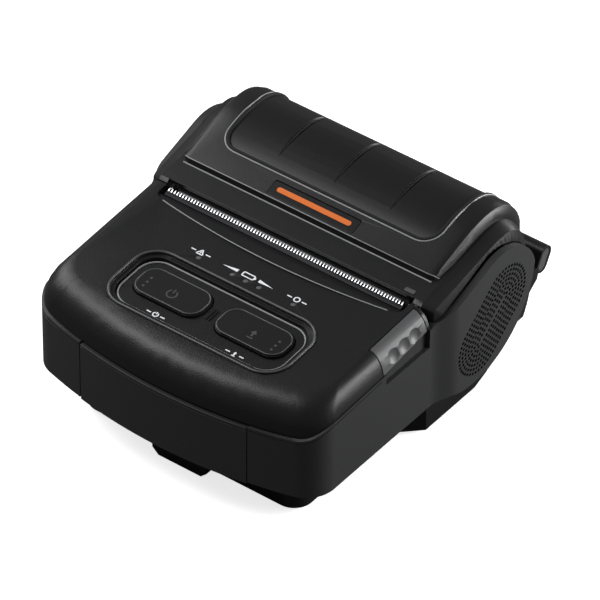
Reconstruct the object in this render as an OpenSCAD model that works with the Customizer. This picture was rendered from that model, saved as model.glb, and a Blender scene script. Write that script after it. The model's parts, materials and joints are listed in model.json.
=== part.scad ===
// Portable label printer: a clamshell case with a roll compartment at the rear.
// Y runs from the bowed front face to the rear, Z stands on the feet, X is the width.
// Every module is drawn with y = 0 at the front face; in_frame() moves it to the middle.

/* [Case] */
// Overall length, front face to the back of the strap bar
overall_l = 119.5; // [118:0.5:122]
// Width of the case at the control panel
case_w = 99; // [98.5:0.5:99.5]
// Width over the two round ears beside the roll
ear_w = 104; // [103.5:0.5:105]
// Wall thickness of the grey lower case
wall = 2.2; // [2:0.1:2.3]
// Height of the lower case's rim above the table
rim_z = 15; // [14.8:0.1:15.2]
// Radius of the gentle bow of the front face
bow_r = 160; // [140:5:200]
// Radius of the two front corners
corner_r = 9.5; // [9:0.5:10.5]
// Height of the split between the lower and the front case, at the front
split_z = 34.7; // [34.5:0.1:35]
// Gap left at every split between two cases
split_gap = 0.4; // [0.3:0.05:0.45]

/* [Control panel] */
// Slope of the control panel, rising to the rear, in degrees
panel_slope = 3.8; // [3.5:0.1:4]
// Height of the panel at the row of lights
panel_z = 47.3; // [47.1:0.1:47.5]
// Distance of the row of lights from the front face
lights_y = 39.6; // [39:0.2:40.5]
// Diameter of one light
light_d = 1.6; // [1.4:0.1:1.8]
// Length of one key
key_l = 23.4; // [22:0.2:24]
// Depth of one key, front to rear
key_w = 11.4; // [10.5:0.1:12]
// How far a key goes down
key_travel = 0.8; // [0.6:0.1:1]
// Gap all round a key
key_gap = 0.35; // [0.3:0.05:0.5]

/* [Roll and cover] */
// Largest roll that the compartment takes
roll_d = 44; // [43:0.2:44.2]
// Width of the label paper
paper_w = 80; // [78:0.5:80]
// Highest point of the paper cover
cover_z = 59.3; // [59:0.1:59.6]
// Radius of the cover's rounded back
cover_r = 16; // [15.8:0.1:16.2]
// Thickness of the cover's shell
cover_t = 2; // [1.8:0.1:2.1]

/* [Battery] */
// Width of the battery pack's visible face
battery_w = 57.7; // [56:0.1:58]
// Length of the battery pack
battery_l = 51; // [50:0.5:51.5]
// Height of the battery pack
battery_h = 19.9; // [19.5:0.1:20]

/* [Print mechanism] */
// Diameter of the rubber platen roller
platen_d = 8; // [7.8:0.1:8.1]
// Diameter of the platen's steel shaft
shaft_d = 4; // [3.8:0.1:4]
// Module of the feed gears
gear_m = 0.6; // [0.6:0.01:0.61]
// Width of the feed gears
gear_w = 2; // [1.6:0.1:2.1]
// Diameter of the motor can
motor_d = 13; // [12:0.5:13]
// Pitch of the teeth on the tear bar
tear_pitch = 1; // [0.9:0.05:1.2]

/* [Hardware] */
// Diameter of the hinge pin
pin_d = 3; // [2.8:0.1:3.2]
// Running clearance of pins and shafts, on the radius
fit = 0.05; // [0.04:0.01:0.08]
// Drill for the belt clip's two screws
clip_hole_d = 2.5; // [2.4:0.1:2.6]
// Distance between the belt clip's two screws
clip_pitch = 24; // [22:0.5:26]
// Height of the strap bar's oval end
strap_h = 8.6; // [8.2:0.1:9]
// Thickness of the strap bar's oval end
strap_t = 5.2; // [5:0.1:5.4]
// Length of the strap bar
strap_l = 93; // [90:1:94]

/* [Hidden] */
$fn = 64;
eps = 0.02;

// Colours of the pieces
black = [0.13, 0.13, 0.135];
dark = [0.19, 0.19, 0.195];
grey = [0.36, 0.36, 0.37];
pale = [0.58, 0.58, 0.59];
steel = [0.72, 0.73, 0.75];
brass = [0.78, 0.62, 0.28];
rubber = [0.09, 0.09, 0.09];
board_green = [0.08, 0.3, 0.16];

// Case heights and lengths that follow from the driving sizes
foot_h = 1;
base_z = foot_h;
half_w = case_w / 2;
half_ear = ear_w / 2;
flare_y0 = 58.5;
flare_y1 = 68.5;
ear_y = 76;
ear_z = rim_z + 25.8;
ear_r = 27.6;
crest_y = 88;
crest_z = rim_z + 20.5;
crest_r = 16;
corner_y0 = 4.5;
corner_y1 = 15;
corner_rise = 4.2;
hip_y = 37;
hip_rise = 5.3;
step_y = 58.6;
step_z = split_z + 8;
seam_y = 58.9;

// Roll compartment
roll_y = 83.4;
roll_r = roll_d / 2 + 0.6;
well_t = 1.4;
well_r = roll_r + well_t;
roll_z = base_z + 4 + roll_r;
well_x = paper_w / 2 + 2.7;

// Cover section: a flat-arched front half and a round back
back_y = overall_l - 10.7 - cover_r;
back_z = cover_z - cover_r;
brow_r = 34;
lip_y = 60.1;
lip_z = panel_z + 2.6;
body_y = 66.8;
ridge_y = 72;
raised_x = 44.5;
hinge_y = 105;
hinge_z = 42.5;
knuckle_r = 3.4;
trough_r = 4.9;

// Print mechanism
platen_y = 63.9;
platen_z = 43.9;
head_y = platen_y - platen_d / 2 - 0.25;
rubber_x = paper_w / 2 + 0.3;
plate_x0 = paper_w / 2 + 3.2;
plate_x1 = plate_x0 + 1.6;
gear_x = -plate_x1 - 0.3;
line_1 = 262;
line_2 = 205;
platen_teeth = 12;
idler_teeth = 30;
pinion_teeth = 10;
idler_at = [
    platen_y + gear_m * (platen_teeth + idler_teeth) / 2 * cos(line_1),
    platen_z + gear_m * (platen_teeth + idler_teeth) / 2 * sin(line_1)
];
pinion_at = [
    idler_at[0] + gear_m * (idler_teeth + pinion_teeth) / 2 * cos(line_2),
    idler_at[1] + gear_m * (idler_teeth + pinion_teeth) / 2 * sin(line_2)
];
rod_y = 57.5;
rod_z = 33.5;
rod_d = 3;
lever_y0 = 37.2;
lever_y1 = 57;
lever_travel = 3.6;

// Battery and its latch
battery_z = rim_z - 0.6;
bay_gap = 0.3;
latch_y = 20;
latch_z = 8;
latch_pin_d = 2;
notch_y = 30;

// Strap bar behind the case
strap_z = 28.6;
strap_lean = 62;
strap_y = overall_l - strap_t / 2 - (strap_h - strap_t) / 2 * cos(strap_lean);

// Gear tooth flanks: points of an involute, and a whole toothed outline
pressure = 20;
function inv_at(rb, r) = let (t = sqrt(max(0, r * r / (rb * rb) - 1)) * 180 / PI) t - atan(t * PI / 180);
function polar(r, a) = [r * cos(a), r * sin(a)];
function tooth(z, m, lash) =
    let (
        rp = m * z / 2,
        rb = rp * cos(pressure),
        ro = rp + 0.92 * m,
        rr = rp - 1.2 * m,
        half = 90 / z - lash / rp * 90 / PI + inv_at(rb, rp),
        rs = max(rb, rr)
    )
    concat(
        [polar(rr, -half)],
        [for (i = [0:4]) let (r = rs + (ro - rs) * i / 4) polar(r, -half + inv_at(rb, r))],
        [for (i = [4:-1:0]) let (r = rs + (ro - rs) * i / 4) polar(r, half - inv_at(rb, r))],
        [polar(rr, half)]
    );
function turned(p, a) = [p[0] * cos(a) - p[1] * sin(a), p[0] * sin(a) + p[1] * cos(a)];
module gear_outline(z, phase = 0) {
    polygon([for (k = [0:z - 1]) for (p = tooth(z, gear_m, 0.06)) turned(p, phase + k * 360 / z)]);
}

// Moves a piece drawn from the front face into the shared frame
module in_frame() {
    translate([0, -overall_l / 2, 0]) children();
}

// Extrudes an outline drawn in (y, z) across the width, from x0 to x1
module across(x0, x1) {
    translate([x0, 0, 0]) rotate([90, 0, 90]) linear_extrude(x1 - x0) children();
}

// A round bar along the width
module bar(d, x0, x1, y, z) {
    translate([x0, y, z]) rotate([0, 90, 0]) cylinder(d = d, h = x1 - x0);
}

// A copy of a piece on the left and on the right
module both_sides() {
    children();
    mirror([1, 0, 0]) children();
}

// A rectangle with round corners, centred
module soft_rect(l, w, r) {
    square([l - 2 * r, w], center = true);
    square([l, w - 2 * r], center = true);
    for (sx = [-1, 1], sy = [-1, 1]) translate([sx * (l / 2 - r), sy * (w / 2 - r)]) circle(r);
}

// Plan of the case's front: a bowed face that runs into two round corners
module plan(w, front, r, rear) {
    corner_y = front + bow_r - sqrt(pow(bow_r - r, 2) - pow(w - r, 2));
    touch_x = bow_r * (w - r) / (bow_r - r);
    intersection() {
        translate([0, front + bow_r]) circle(bow_r, $fn = 360);
        translate([-touch_x, front]) square([2 * touch_x, rear - front]);
    }
    for (s = [-1, 1]) translate([s * (w - r), corner_y]) circle(r);
    translate([-w, corner_y]) square([2 * w, rear - corner_y]);
}

// Plan of the whole lower case, with the flare from the sides out to the ears
module flared_plan(inset) {
    steps = 10;
    rear = ear_y + ear_r + 2;
    plan(half_w - inset, inset, corner_r - inset, flare_y0 + 1);
    right = [for (i = [0:steps])
        [half_w - inset + (half_ear - half_w) * (1 - cos(180 * i / steps)) / 2,
         flare_y0 + (flare_y1 - flare_y0) * i / steps]];
    left = [for (i = [steps:-1:0]) [-right[i][0], right[i][1]]];
    polygon(concat(right, [[half_ear - inset, rear], [-half_ear + inset, rear]], left));
}

// Everything below the split line, seen from the side: level across the front,
// a quick rise round the corner, then a slope that runs tangent into the ear's crest
function ease(t) = (1 - cos(180 * t)) / 2;
module below_split() {
    steps = 6;
    run = norm([crest_y - step_y, step_z - crest_z]);
    lift = asin(crest_r / run) - atan((step_z - crest_z) / (crest_y - step_y));
    corner = [for (i = [0:steps]) [
        corner_y0 + (corner_y1 - corner_y0) * i / steps,
        split_z + corner_rise * ease(i / steps)
    ]];
    polygon(concat([[-5, -5], [-5, split_z]], corner, [
        [hip_y, split_z + hip_rise],
        [step_y, step_z],
        [crest_y - crest_r * sin(lift), crest_z + crest_r * cos(lift)],
        [crest_y, crest_z],
        [crest_y + crest_r, crest_z],
        [crest_y + crest_r, -5]
    ]));
    translate([crest_y, crest_z]) circle(crest_r);
}

// The side outline of the lower case: a long skirt with a round ear at the rear
module skirt_side(inset) {
    translate([-1, rim_z + inset]) square([ear_y + 1, 60]);
    translate([ear_y, ear_z]) circle(ear_r - inset);
}

// The grey lower case: a skirt round the front and two hollow ears beside the roll
rail_t = 1.5;
bay_y = battery_l + 2.5;
finger_d = 1.4;
well_cut_y = 61.6;
module lower_case() {
    color(grey) {
        skirt_shell();
        // rails on both sides of the battery
        both_sides() translate([battery_w / 2 + bay_gap, 4, rim_z])
            cube([rail_t, battery_l - 6, battery_h - 1]);
    }
}
module skirt_shell() {
    difference() {
        intersection() {
            linear_extrude(70) flared_plan(0);
            across(-half_ear - 1, half_ear + 1) intersection() {
                skirt_side(0);
                below_split();
            }
        }
        intersection() {
            translate([0, 0, 1]) linear_extrude(70) flared_plan(wall);
            across(-half_ear - 1, half_ear + 1) skirt_side(wall);
        }
        // the middle is open where the roll compartment hangs through
        translate([-half_w + wall, well_cut_y, -1]) cube([2 * (half_w - wall), 60, 80]);
        // the battery slides in from the front
        translate([-battery_w / 2 - bay_gap, -1, -1]) cube([battery_w + 2 * bay_gap, bay_y, 60]);
        // the floor is open above the base
        translate([-30, 13.5, -1]) cube([60, 43, 20]);
        screw_places() cylinder(d = screw_d, h = 30);
        split_line();
        // finger notch below the release lever
        translate([half_w - finger_d, lever_y0 + 1, split_z + 1.8])
            cube([10, lever_y1 - lever_y0, 12]);
        port_openings();
    }
}

// The fine line that runs just below the split, round the front and along the sides
line_drop = 0.9;
line_w = 0.3;
line_deep = 0.4;
module split_line() {
    intersection() {
        linear_extrude(60) difference() {
            flared_plan(-1);
            flared_plan(line_deep);
        }
        across(-60, 60) intersection() {
            difference() {
                translate([0, -line_drop]) below_split();
                translate([0, -line_drop - line_w]) below_split();
            }
            translate([-2, 20]) square([hip_y + 1, 40]);
        }
    }
}

// Openings in the left side for the two sockets, and the flap's shallow seat
port_y = 24.5;
port_z = rim_z + 9.5;
flap_l = 19;
flap_h = 12;
flap_t = 1.2;
module port_openings() {
    translate([-half_w - 1, port_y - flap_l / 2 - 0.2, port_z - flap_h / 2 - 0.2])
        cube([flap_t + 1, flap_l + 0.4, flap_h + 0.4]);
    bar(8.4, -half_w - 1, -half_w + 4, port_y - 4.2, port_z);
    translate([-half_w - 1, port_y + 1.2, port_z - 2.2]) cube([5, 8, 4.4]);
}

// The black base: a shallow tub under the case that widens for the roll
base_x = 38.5;
base_wide_x = 45.2;
base_y = 13.5;
base_t = 2;
deck_t = 1.4;
deck_x = 28.8;
deck_z = rim_z - 0.9;
drum_t = 1.6;
drum_r = well_r + drum_t;
module base_plan(inset) {
    blend_y = 56.4;
    widening = base_wide_x - base_x;
    translate([0, (base_y + 66) / 2]) soft_rect(2 * (base_x - inset), 66 - base_y - 2 * inset, 6 - inset);
    polygon([
        [-base_x + inset, blend_y], [base_x - inset, blend_y],
        [base_wide_x - inset, blend_y + widening], [base_wide_x - inset, 115],
        [-base_wide_x + inset, 115], [-base_wide_x + inset, blend_y + widening]
    ]);
}
module base_side(inset) {
    polygon([
        [0, base_z + inset], [86, base_z + inset], [92 - inset, base_z + 2.3 + inset],
        [92 - inset, 40], [0, 40]
    ]);
    translate([roll_y, roll_z]) circle(inset > 0 ? well_r + 0.1 : drum_r);
}

// Places of the four screws that hold the base to the lower case
screw_x = 34;
screw_y = [18, 52];
screw_d = 2.4;
module screw_places() {
    for (sx = [-1, 1], y = screw_y) translate([sx * screw_x, y, 0]) children();
}
module foot_places() {
    for (sx = [-1, 1]) {
        translate([sx * 24, 19, 0]) children();
        translate([sx * 36, 84, 0]) children();
    }
}
module base_cover() {
    color(black) difference() {
        union() {
            difference() {
                intersection() {
                    linear_extrude(rim_z) base_plan(0);
                    across(-60, 60) base_side(0);
                }
                intersection() {
                    linear_extrude(70) base_plan(base_t);
                    across(-60, 60) base_side(base_t);
                }
            }
            screw_places() translate([0, 0, base_z]) cylinder(d = 6.4, h = rim_z - base_z);
            // deck that the battery slides on
            translate([-deck_x, 14.5, deck_z - deck_t]) cube([2 * deck_x, 42, deck_t]);
            both_sides() translate([deck_x - 1.6, 14.5, base_z + 1]) cube([1.6, 42, deck_z - base_z - 1]);
            // bosses for the belt clip's screws, and lugs for the latch pin
            clip_places() translate([0, 0, base_z]) cylinder(d = 6, h = 8);
            both_sides() translate([9.8, latch_y - 2.5, base_z + 1]) cube([1.8, 5, 11.4]);
        }
        screw_places() {
            translate([0, 0, -1]) cylinder(d = screw_d + 2 * fit, h = 30);
            translate([0, 0, -1]) cylinder(d = 5, h = 3.2);
        }
        clip_places() translate([0, 0, -1]) cylinder(d = clip_hole_d, h = 9);
        foot_places() translate([0, 0, -1]) cylinder(d = 9.2, h = 2.6);
        // the battery passes over the front wall
        translate([-battery_w / 2 - bay_gap, 0, deck_z]) cube([battery_w + 2 * bay_gap, bay_y, 10]);
        // window and slot for the battery latch
        translate([-tab_x - 0.4, 0, -1]) cube([2 * tab_x + 0.8, base_y + base_t + 1, 13.4]);
        translate([-hook_x - 0.5, notch_y - 2.5, 8]) cube([2 * hook_x + 1, 6, 10]);
        bar(latch_pin_d, -11.7, 11.7, latch_y, latch_z);
    }
}
module clip_places() {
    for (s = [-1, 1]) translate([s * clip_pitch / 2, 60, 0]) children();
}
module rubber_feet() {
    color(rubber) foot_places() {
        cylinder(d = 9, h = 1.6);
    }
}
module case_screws() {
    color(steel) screw_places() {
        translate([0, 0, 0.8]) cylinder(d = 4.6, h = 1.4);
        translate([0, 0, 2]) cylinder(d = screw_d, h = 15);
    }
}

// The black front case: a rounded shell above the split, with a sloping panel
shoulder_r = 9.2;
side_round = 5.2;
front_set = 0.9;
function panel_at(y) = panel_z + (y - lights_y) * tan(panel_slope);
module shoulder_slab(a, front, side, drop, rear) {
    f = front + (1 - cos(a)) * shoulder_r;
    s = side + (1 - cos(a)) * side_round;
    translate([0, 0, panel_at(0) - shoulder_r * (1 - sin(a)) - drop]) rotate([panel_slope, 0, 0])
        linear_extrude(0.01) plan(half_w - s, f, corner_r - side, rear);
}
module front_dome(inset, rear) {
    hull() {
        for (a = [0, 15, 30, 45, 60, 75, 90]) shoulder_slab(a, front_set + inset, inset, inset, rear);
        translate([0, 0, 20]) linear_extrude(0.01)
            plan(half_w - inset, front_set + inset, corner_r - inset, rear);
    }
}
module above_split(gap) {
    difference() {
        translate([-10, 10]) square([160, 70]);
        translate([0, gap]) below_split();
    }
}
front_rear_y = seam_y - split_gap;
front_t = 2;
module front_case() {
    color(black) difference() {
        union() {
            intersection() {
                front_dome(0, front_rear_y);
                across(-60, 60) above_split(split_gap);
            }
            brow();
        }
        difference() {
            front_dome(front_t, front_rear_y + 10);
            // wall in front of the paper slot
            translate([-60, slot_y0 - 1.7, panel_at(slot_y0) - 3.8]) cube([120, 10, 30]);
            pod_tray();
        }
        slot_cut();
        slot_bevel();
        pod_cut();
        key_holes();
        for (x = light_x) translate([x, lights_y, 30]) cylinder(d = light_d, h = 30);
        lever_cut(0.35);
    }
}

// Slot for the paper, between the tear bar and the cover's lip
slot_y0 = 55.6;
slot_x = paper_w / 2 + 2.4;
module slot_cut() {
    translate([-slot_x, slot_y0, 25]) cube([2 * slot_x, 10, 40]);
}

// The bevel that runs down to the tear bar, and the low crescent brow in front of it
bevel_y = 52.6;
bevel_deep = 1.2;
brow_y = 49;
brow_x = 40;
brow_h = 0.45;
module slot_bevel() {
    intersection() {
        translate([0, slot_y0]) linear_extrude(80) soft_rect(2 * slot_x, 2 * (slot_y0 - bevel_y), 2.8);
        across(-50, 50) polygon([[bevel_y - 1, panel_at(bevel_y) + bevel_deep / 3],
            [slot_y0 + 1, panel_at(slot_y0) - bevel_deep * 4 / 3], [slot_y0 + 1, 60], [bevel_y - 1, 60]]);
    }
}
module brow() {
    bow = (pow(brow_x, 2) + pow(bevel_y - brow_y, 2)) / 2 / (bevel_y - brow_y);
    lean = panel_slope - atan(brow_h / (bevel_y - brow_y));
    intersection() {
        linear_extrude(80) intersection() {
            translate([0, brow_y + bow]) circle(bow, $fn = 360);
            translate([-50, brow_y - 1]) square([100, bevel_y - brow_y + 1]);
        }
        translate([-50, bevel_y, panel_at(bevel_y)]) rotate([lean, 0, 0]) translate([0, -8, -1]) cube([100, 8, 1]);
    }
}

// The shallow pod that the two keys sit in
light_x = [-16.4, -4.6, 0, 4.6, 16.4];
pod_x = 31;
pod_y0 = 11.8;
pod_y1 = 36.8;
pod_depth = 1.6;
pod_floor = 1.4;
pod_r = 8.5;
key_x = 14.1;
key_y = (pod_y0 + pod_y1) / 2 + 1;
module on_panel(y) {
    translate([0, y, panel_at(y)]) rotate([panel_slope, 0, 0]) children();
}
module pod_cut() {
    on_panel((pod_y0 + pod_y1) / 2) translate([0, 0, -pod_depth])
        linear_extrude(20) soft_rect(2 * pod_x, pod_y1 - pod_y0, pod_r);
}
module pod_tray() {
    side = 1.4;
    on_panel((pod_y0 + pod_y1) / 2) translate([0, 0, -pod_depth - pod_floor]) linear_extrude(20)
        soft_rect(2 * (pod_x + side), pod_y1 - pod_y0 + 2 * side, pod_r + side);
}
module key_holes() {
    for (s = [-1, 1]) on_panel(key_y) translate([s * key_x, 0, -15])
        linear_extrude(20) soft_rect(key_l + 2 * key_gap, key_w + 2 * key_gap, 4.6 + key_gap);
}
module pod_rims() {
    color(dark) on_panel((pod_y0 + pod_y1) / 2) {
        translate([0, 0, -pod_depth]) linear_extrude(pod_depth + 0.35) difference() {
            soft_rect(2 * pod_x, pod_y1 - pod_y0, pod_r);
            soft_rect(2 * pod_x - 2, pod_y1 - pod_y0 - 2, pod_r - 1);
        }
        translate([0, 0, -pod_depth]) linear_extrude(pod_depth - 0.5) difference() {
            soft_rect(2 * pod_x - 2, pod_y1 - pod_y0 - 2, pod_r - 1);
            soft_rect(2 * pod_x - 4.4, pod_y1 - pod_y0 - 4.4, pod_r - 2.2);
        }
    }
}
// A key cap: its foot stops at twice its travel above the mat's dome, a flange below the
// pod's floor keeps it in, and its top edge is stepped in
key_top = 0.55;
key_r = 4.6;
mat_t = 0.8;
dome_h = 0.45;
board_top = 38.6;
board_t = 1.6;
module key_cap(s) {
    foot = panel_at(key_y) - board_top - mat_t - dome_h - 2 * key_travel;
    flange = pod_depth + pod_floor + 0.1;
    edge = 0.45;
    on_panel(key_y) translate([s * key_x, 0, 0]) {
        translate([0, 0, -foot]) linear_extrude(foot - key_top - edge) soft_rect(key_l, key_w, key_r);
        translate([0, 0, -key_top - edge]) linear_extrude(edge)
            soft_rect(key_l - 2 * edge, key_w - 2 * edge, key_r - edge);
        translate([0, 0, -flange - 1]) linear_extrude(1) soft_rect(key_l + 1.6, key_w - 3, 3);
    }
}
module power_button() {
    color(black) key_cap(-1);
}
module feed_button() {
    color(black) key_cap(1);
}
module key_mat() {
    color(rubber) {
        translate([-26.4, key_y - 9, board_top]) cube([52.8, 17, mat_t]);
        for (s = [-1, 1]) translate([s * key_x, key_y, board_top + mat_t - eps]) cylinder(d1 = 6, d2 = 4, h = dome_h);
    }
}
module status_lights() {
    color(pale) for (x = light_x) translate([x, lights_y, board_top]) {
        cylinder(d = 2.6, h = 2.4);
        cylinder(d = light_d - 2 * fit, h = panel_at(lights_y) - board_top - 0.1);
    }
}
board_pins = [[28, 16], [28, 47]];
module main_board() {
    color(board_green) difference() {
        translate([-42, 12.5, board_top - board_t]) cube([84, 38.5, board_t]);
        both_sides() for (p = board_pins) translate([p[0], p[1], 30]) cylinder(d = 2.6, h = 20);
    }
    color(dark) {
        translate([-12, 42.4, board_top]) cube([12, 8, 1.6]);
        translate([20, 42.4, board_top]) cube([7, 6, 1.4]);
    }
}

// The serrated steel bar that the paper is torn on: a flange on the slot's front wall,
// bent over into a leaning strip with teeth
tear_top = 48.5;
tear_t = 0.5;
tear_lean = 28;
tear_strip = 1.3;
tear_rise = 1.1;
flange_z0 = 45.7;
module tear_bar() {
    teeth = floor((paper_w + 2) / tear_pitch);
    bend_z = tear_top - (tear_strip + tear_rise) * sin(tear_lean) - tear_t * cos(tear_lean);
    color(steel) {
        translate([-teeth * tear_pitch / 2, slot_y0, flange_z0])
            cube([teeth * tear_pitch, tear_t, bend_z + tear_t * cos(tear_lean) - flange_z0]);
        translate([0, slot_y0 + tear_t * sin(tear_lean), bend_z]) rotate([tear_lean, 0, 0])
            linear_extrude(tear_t) polygon(concat(
                [[-teeth * tear_pitch / 2, 0]],
                [for (i = [0:2 * teeth]) [(i - teeth) * tear_pitch / 2, tear_strip + (i % 2) * tear_rise]],
                [[teeth * tear_pitch / 2, 0]]
            ));
    }
}

// The chassis: two side plates, a cross wall behind the battery and a roof over it
bush_d = 6;
idler_pin_d = 2;
cross_y = 52.4;
cross_t = 1.6;
tray_y = 6.6;
roof_z = battery_z + battery_h + 0.4;
roof_t = 1.2;
head_x = paper_w / 2 - 1.5;
head_pin_d = 2;
pivot_y = head_y - 1.65;
pivot_z = 38.4;
module plate_outline() {
    polygon([[46, rim_z + wall], [64, rim_z + wall], [68.5, 36], [68.5, 45.5],
        [59.6, 45.5], [58.2, 42.5], [50, 40], [44, 36.5], [40, 24]]);
}
module chassis() {
    color(dark) difference() {
        union() {
            both_sides() {
                across(plate_x0, plate_x1) plate_outline();
                // lug that the print head pivots on
                across(head_x + 0.3, head_x + 2.1) {
                    translate([pivot_y, pivot_z]) circle(d = 3);
                    translate([cross_y, pivot_z - 1.5]) square([pivot_y - cross_y, 3]);
                }
                // wall beside the battery bay
                translate([30.9, tray_y, rim_z + wall]) cube([1.2, cross_y - tray_y, roof_z - rim_z - wall + eps]);
                for (p = board_pins) translate([p[0], p[1], roof_z]) {
                    cylinder(d = 4.4, h = board_top - board_t - roof_z);
                    cylinder(d = 2.4, h = board_top + 0.6 - roof_z);
                }
            }
            translate([-plate_x0 - eps, cross_y, rim_z + wall]) cube([2 * (plate_x0 + eps), cross_t, 27]);
            translate([-32.1, tray_y, roof_z]) cube([64.2, cross_y - tray_y + eps, roof_t]);
            // pins that guide the release lever's stem
            for (y = stem_pins) bar(stem_pin_d, plate_x1 - eps, stem_x1, y, stem_pin_z);
            // ledge above the lever's spring
            translate([plate_x1 - eps, 53.4, ledge_z]) cube([2.2, 2.6, 1.2]);
        }
        // open-topped seats for the platen's bushes
        both_sides() across(plate_x0 - 0.1, plate_x1 + 0.1) {
            translate([platen_y, platen_z]) circle(bush_d / 2 + fit);
            polygon([[platen_y - seat_r, platen_z], [platen_y - seat_r - 0.5, platen_z + 3],
                [platen_y + seat_r + 0.5, platen_z + 3], [platen_y + seat_r, platen_z]]);
        }
        both_sides() bar(head_pin_d + 2 * fit, head_x, head_x + 3, pivot_y, pivot_z);
        bar(rod_d + 2 * fit, -50, 50, rod_y, rod_z);
        bar(idler_pin_d, -50, -plate_x0 + 1, idler_at[0], idler_at[1]);
        bar(4, -50, -plate_x0 + 1, pinion_at[0], pinion_at[1]);
        // room for the motor in the cross wall
        bar(motor_d + 0.8, -plate_x0, -31, pinion_at[0], pinion_at[1]);
    }
}
seat_r = bush_d / 2 + fit;

// The thermal print head with its finned heat sink, and the springs behind it
head_z0 = 37.4;
head_z1 = 47;
module print_head() {
    color(pale) translate([-head_x, head_y - 1, head_z0]) cube([2 * head_x, 1, head_z1 - head_z0]);
    color(steel) difference() {
        translate([-head_x, head_y - 3, head_z0]) cube([2 * head_x, 2 + eps, head_z1 - head_z0 - 1.6]);
        for (x = [-34:8.5:34]) translate([x - 1.5, head_y - 4, pivot_z + 4.8]) cube([3, 1.8, 10]);
    }
    color(dark) both_sides() bar(head_pin_d, head_x - eps, head_x + 2.1, pivot_y, pivot_z);
}
spring_z = 41;
module head_springs() {
    color(steel) for (x = [-28, 0, 28]) translate([x, cross_y + cross_t, spring_z]) rotate([-90, 0, 0])
        cylinder(d = 2.6, h = head_y - 3.3 - cross_y - cross_t);
}

// The platen: a rubber roller on a steel shaft, in two bushes
module platen_roller() {
    color(rubber) difference() {
        bar(platen_d, -rubber_x, rubber_x, platen_y, platen_z);
        bar(shaft_d, -50, 50, platen_y, platen_z);
    }
}
module platen_shaft() {
    color(steel) bar(shaft_d, gear_x - gear_w - 0.2, plate_x1 + 0.6, platen_y, platen_z);
}
module platen_bushes() {
    color(pale) both_sides() difference() {
        union() {
            bar(bush_d, plate_x0 - 0.2, plate_x1 + 0.2, platen_y, platen_z);
            bar(bush_d + 1.6, plate_x0 - 1.2, plate_x0 - 0.2, platen_y, platen_z);
        }
        bar(shaft_d + 2 * fit, plate_x0 - 5, plate_x1 + 5, platen_y, platen_z);
    }
}
module gear(z, at, bore, phase) {
    difference() {
        translate([gear_x - gear_w, at[0], at[1]]) rotate([90, 0, 90]) linear_extrude(gear_w)
            gear_outline(z, phase);
        bar(bore, gear_x - gear_w - 1, gear_x + 1, at[0], at[1]);
    }
}
// Phases that bring a tooth of one gear into a gap of the next along their line of centres
idler_phase = line_1 + 180 + 180 / idler_teeth;
pinion_phase = line_2 + 180 + 180 / pinion_teeth
    + (line_2 - idler_phase - round((line_2 - idler_phase) * idler_teeth / 360) * 360 / idler_teeth)
    * idler_teeth / pinion_teeth;
module platen_gear() {
    color(pale) gear(platen_teeth, [platen_y, platen_z], shaft_d, line_1);
}
module idler_gear() {
    color(pale) gear(idler_teeth, idler_at, idler_pin_d + 2 * fit, idler_phase);
}
module motor_pinion() {
    color(brass) gear(pinion_teeth, pinion_at, 1.5, pinion_phase);
    color(steel) bar(1.5, gear_x - gear_w, -plate_x0 + 1.6, pinion_at[0], pinion_at[1]);
}
module idler_pin() {
    color(steel) bar(idler_pin_d, gear_x - gear_w - 0.2, -plate_x0, idler_at[0], idler_at[1]);
}
module feed_motor() {
    color(steel) difference() {
        bar(motor_d, -plate_x0, -plate_x0 + 11, pinion_at[0], pinion_at[1]);
        bar(1.5 + 2 * fit, -50, -plate_x0 + 2, pinion_at[0], pinion_at[1]);
    }
}

// The cradle that the roll lies in, with two side walls
well_y0 = 62.5;
well_top = 36;
module roll_well() {
    color(dark) {
        across(-well_x, well_x) intersection() {
            difference() {
                translate([roll_y, roll_z]) circle(well_r, $fn = 128);
                translate([roll_y, roll_z]) circle(roll_r, $fn = 128);
            }
            translate([40, 0]) square([80, well_top]);
        }
        both_sides() across(well_x - well_t, well_x) intersection() {
            translate([roll_y, roll_z]) circle(well_r, $fn = 128);
            translate([well_y0, 0]) square([60, well_top]);
        }
        // stud that the guides' pinion turns on
        translate([0, roll_y, base_z + 3.2]) cylinder(d = 2, h = 4.6);
    }
}

// Two paper guides that slide together on a rack and pinion in the cradle
guide_x = 30;
guide_t = 1.6;
rack_y = gear_m * pinion_teeth / 2;
rack_z = roll_z - roll_r + 1;
rack_h = 1.6;
rack_end = 4;
module rack_outline(x0, x1) {
    pitch = PI * gear_m;
    flank = tan(pressure) * gear_m;
    half = pitch / 4 - 0.06;
    first = ceil(x0 / pitch + 0.5);
    last = floor(x1 / pitch - 0.5);
    translate([x0, rack_y + 1.2 * gear_m]) square([x1 - x0, 1.4]);
    for (i = [first:last - 1]) translate([(i + 0.5) * pitch, rack_y]) polygon([
        [-half - 1.25 * flank, 1.25 * gear_m], [-half + 0.9 * flank, -0.9 * gear_m],
        [half - 0.9 * flank, -0.9 * gear_m], [half + 1.25 * flank, 1.25 * gear_m]
    ]);
}
module guide(s) {
    color(pale) rotate([0, 0, s > 0 ? 0 : 180]) translate([0, s > 0 ? roll_y : -roll_y, 0]) {
        across(guide_x, guide_x + guide_t) difference() {
            intersection() {
                translate([0, roll_z]) circle(roll_r - 0.3, $fn = 96);
                translate([-23, 3]) square([46, 17]);
            }
            translate([0, roll_z]) circle(7);
        }
        translate([0, 0, rack_z]) linear_extrude(rack_h) rack_outline(-rack_end, guide_x + guide_t);
    }
}
module guide_left() {
    guide(-1);
}
module guide_right() {
    guide(1);
}
module guide_pinion() {
    color(pale) translate([0, roll_y, rack_z]) difference() {
        linear_extrude(rack_h) gear_outline(pinion_teeth, 90);
        translate([0, 0, -1]) cylinder(d = 2 + 2 * fit, h = 5);
    }
}

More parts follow.
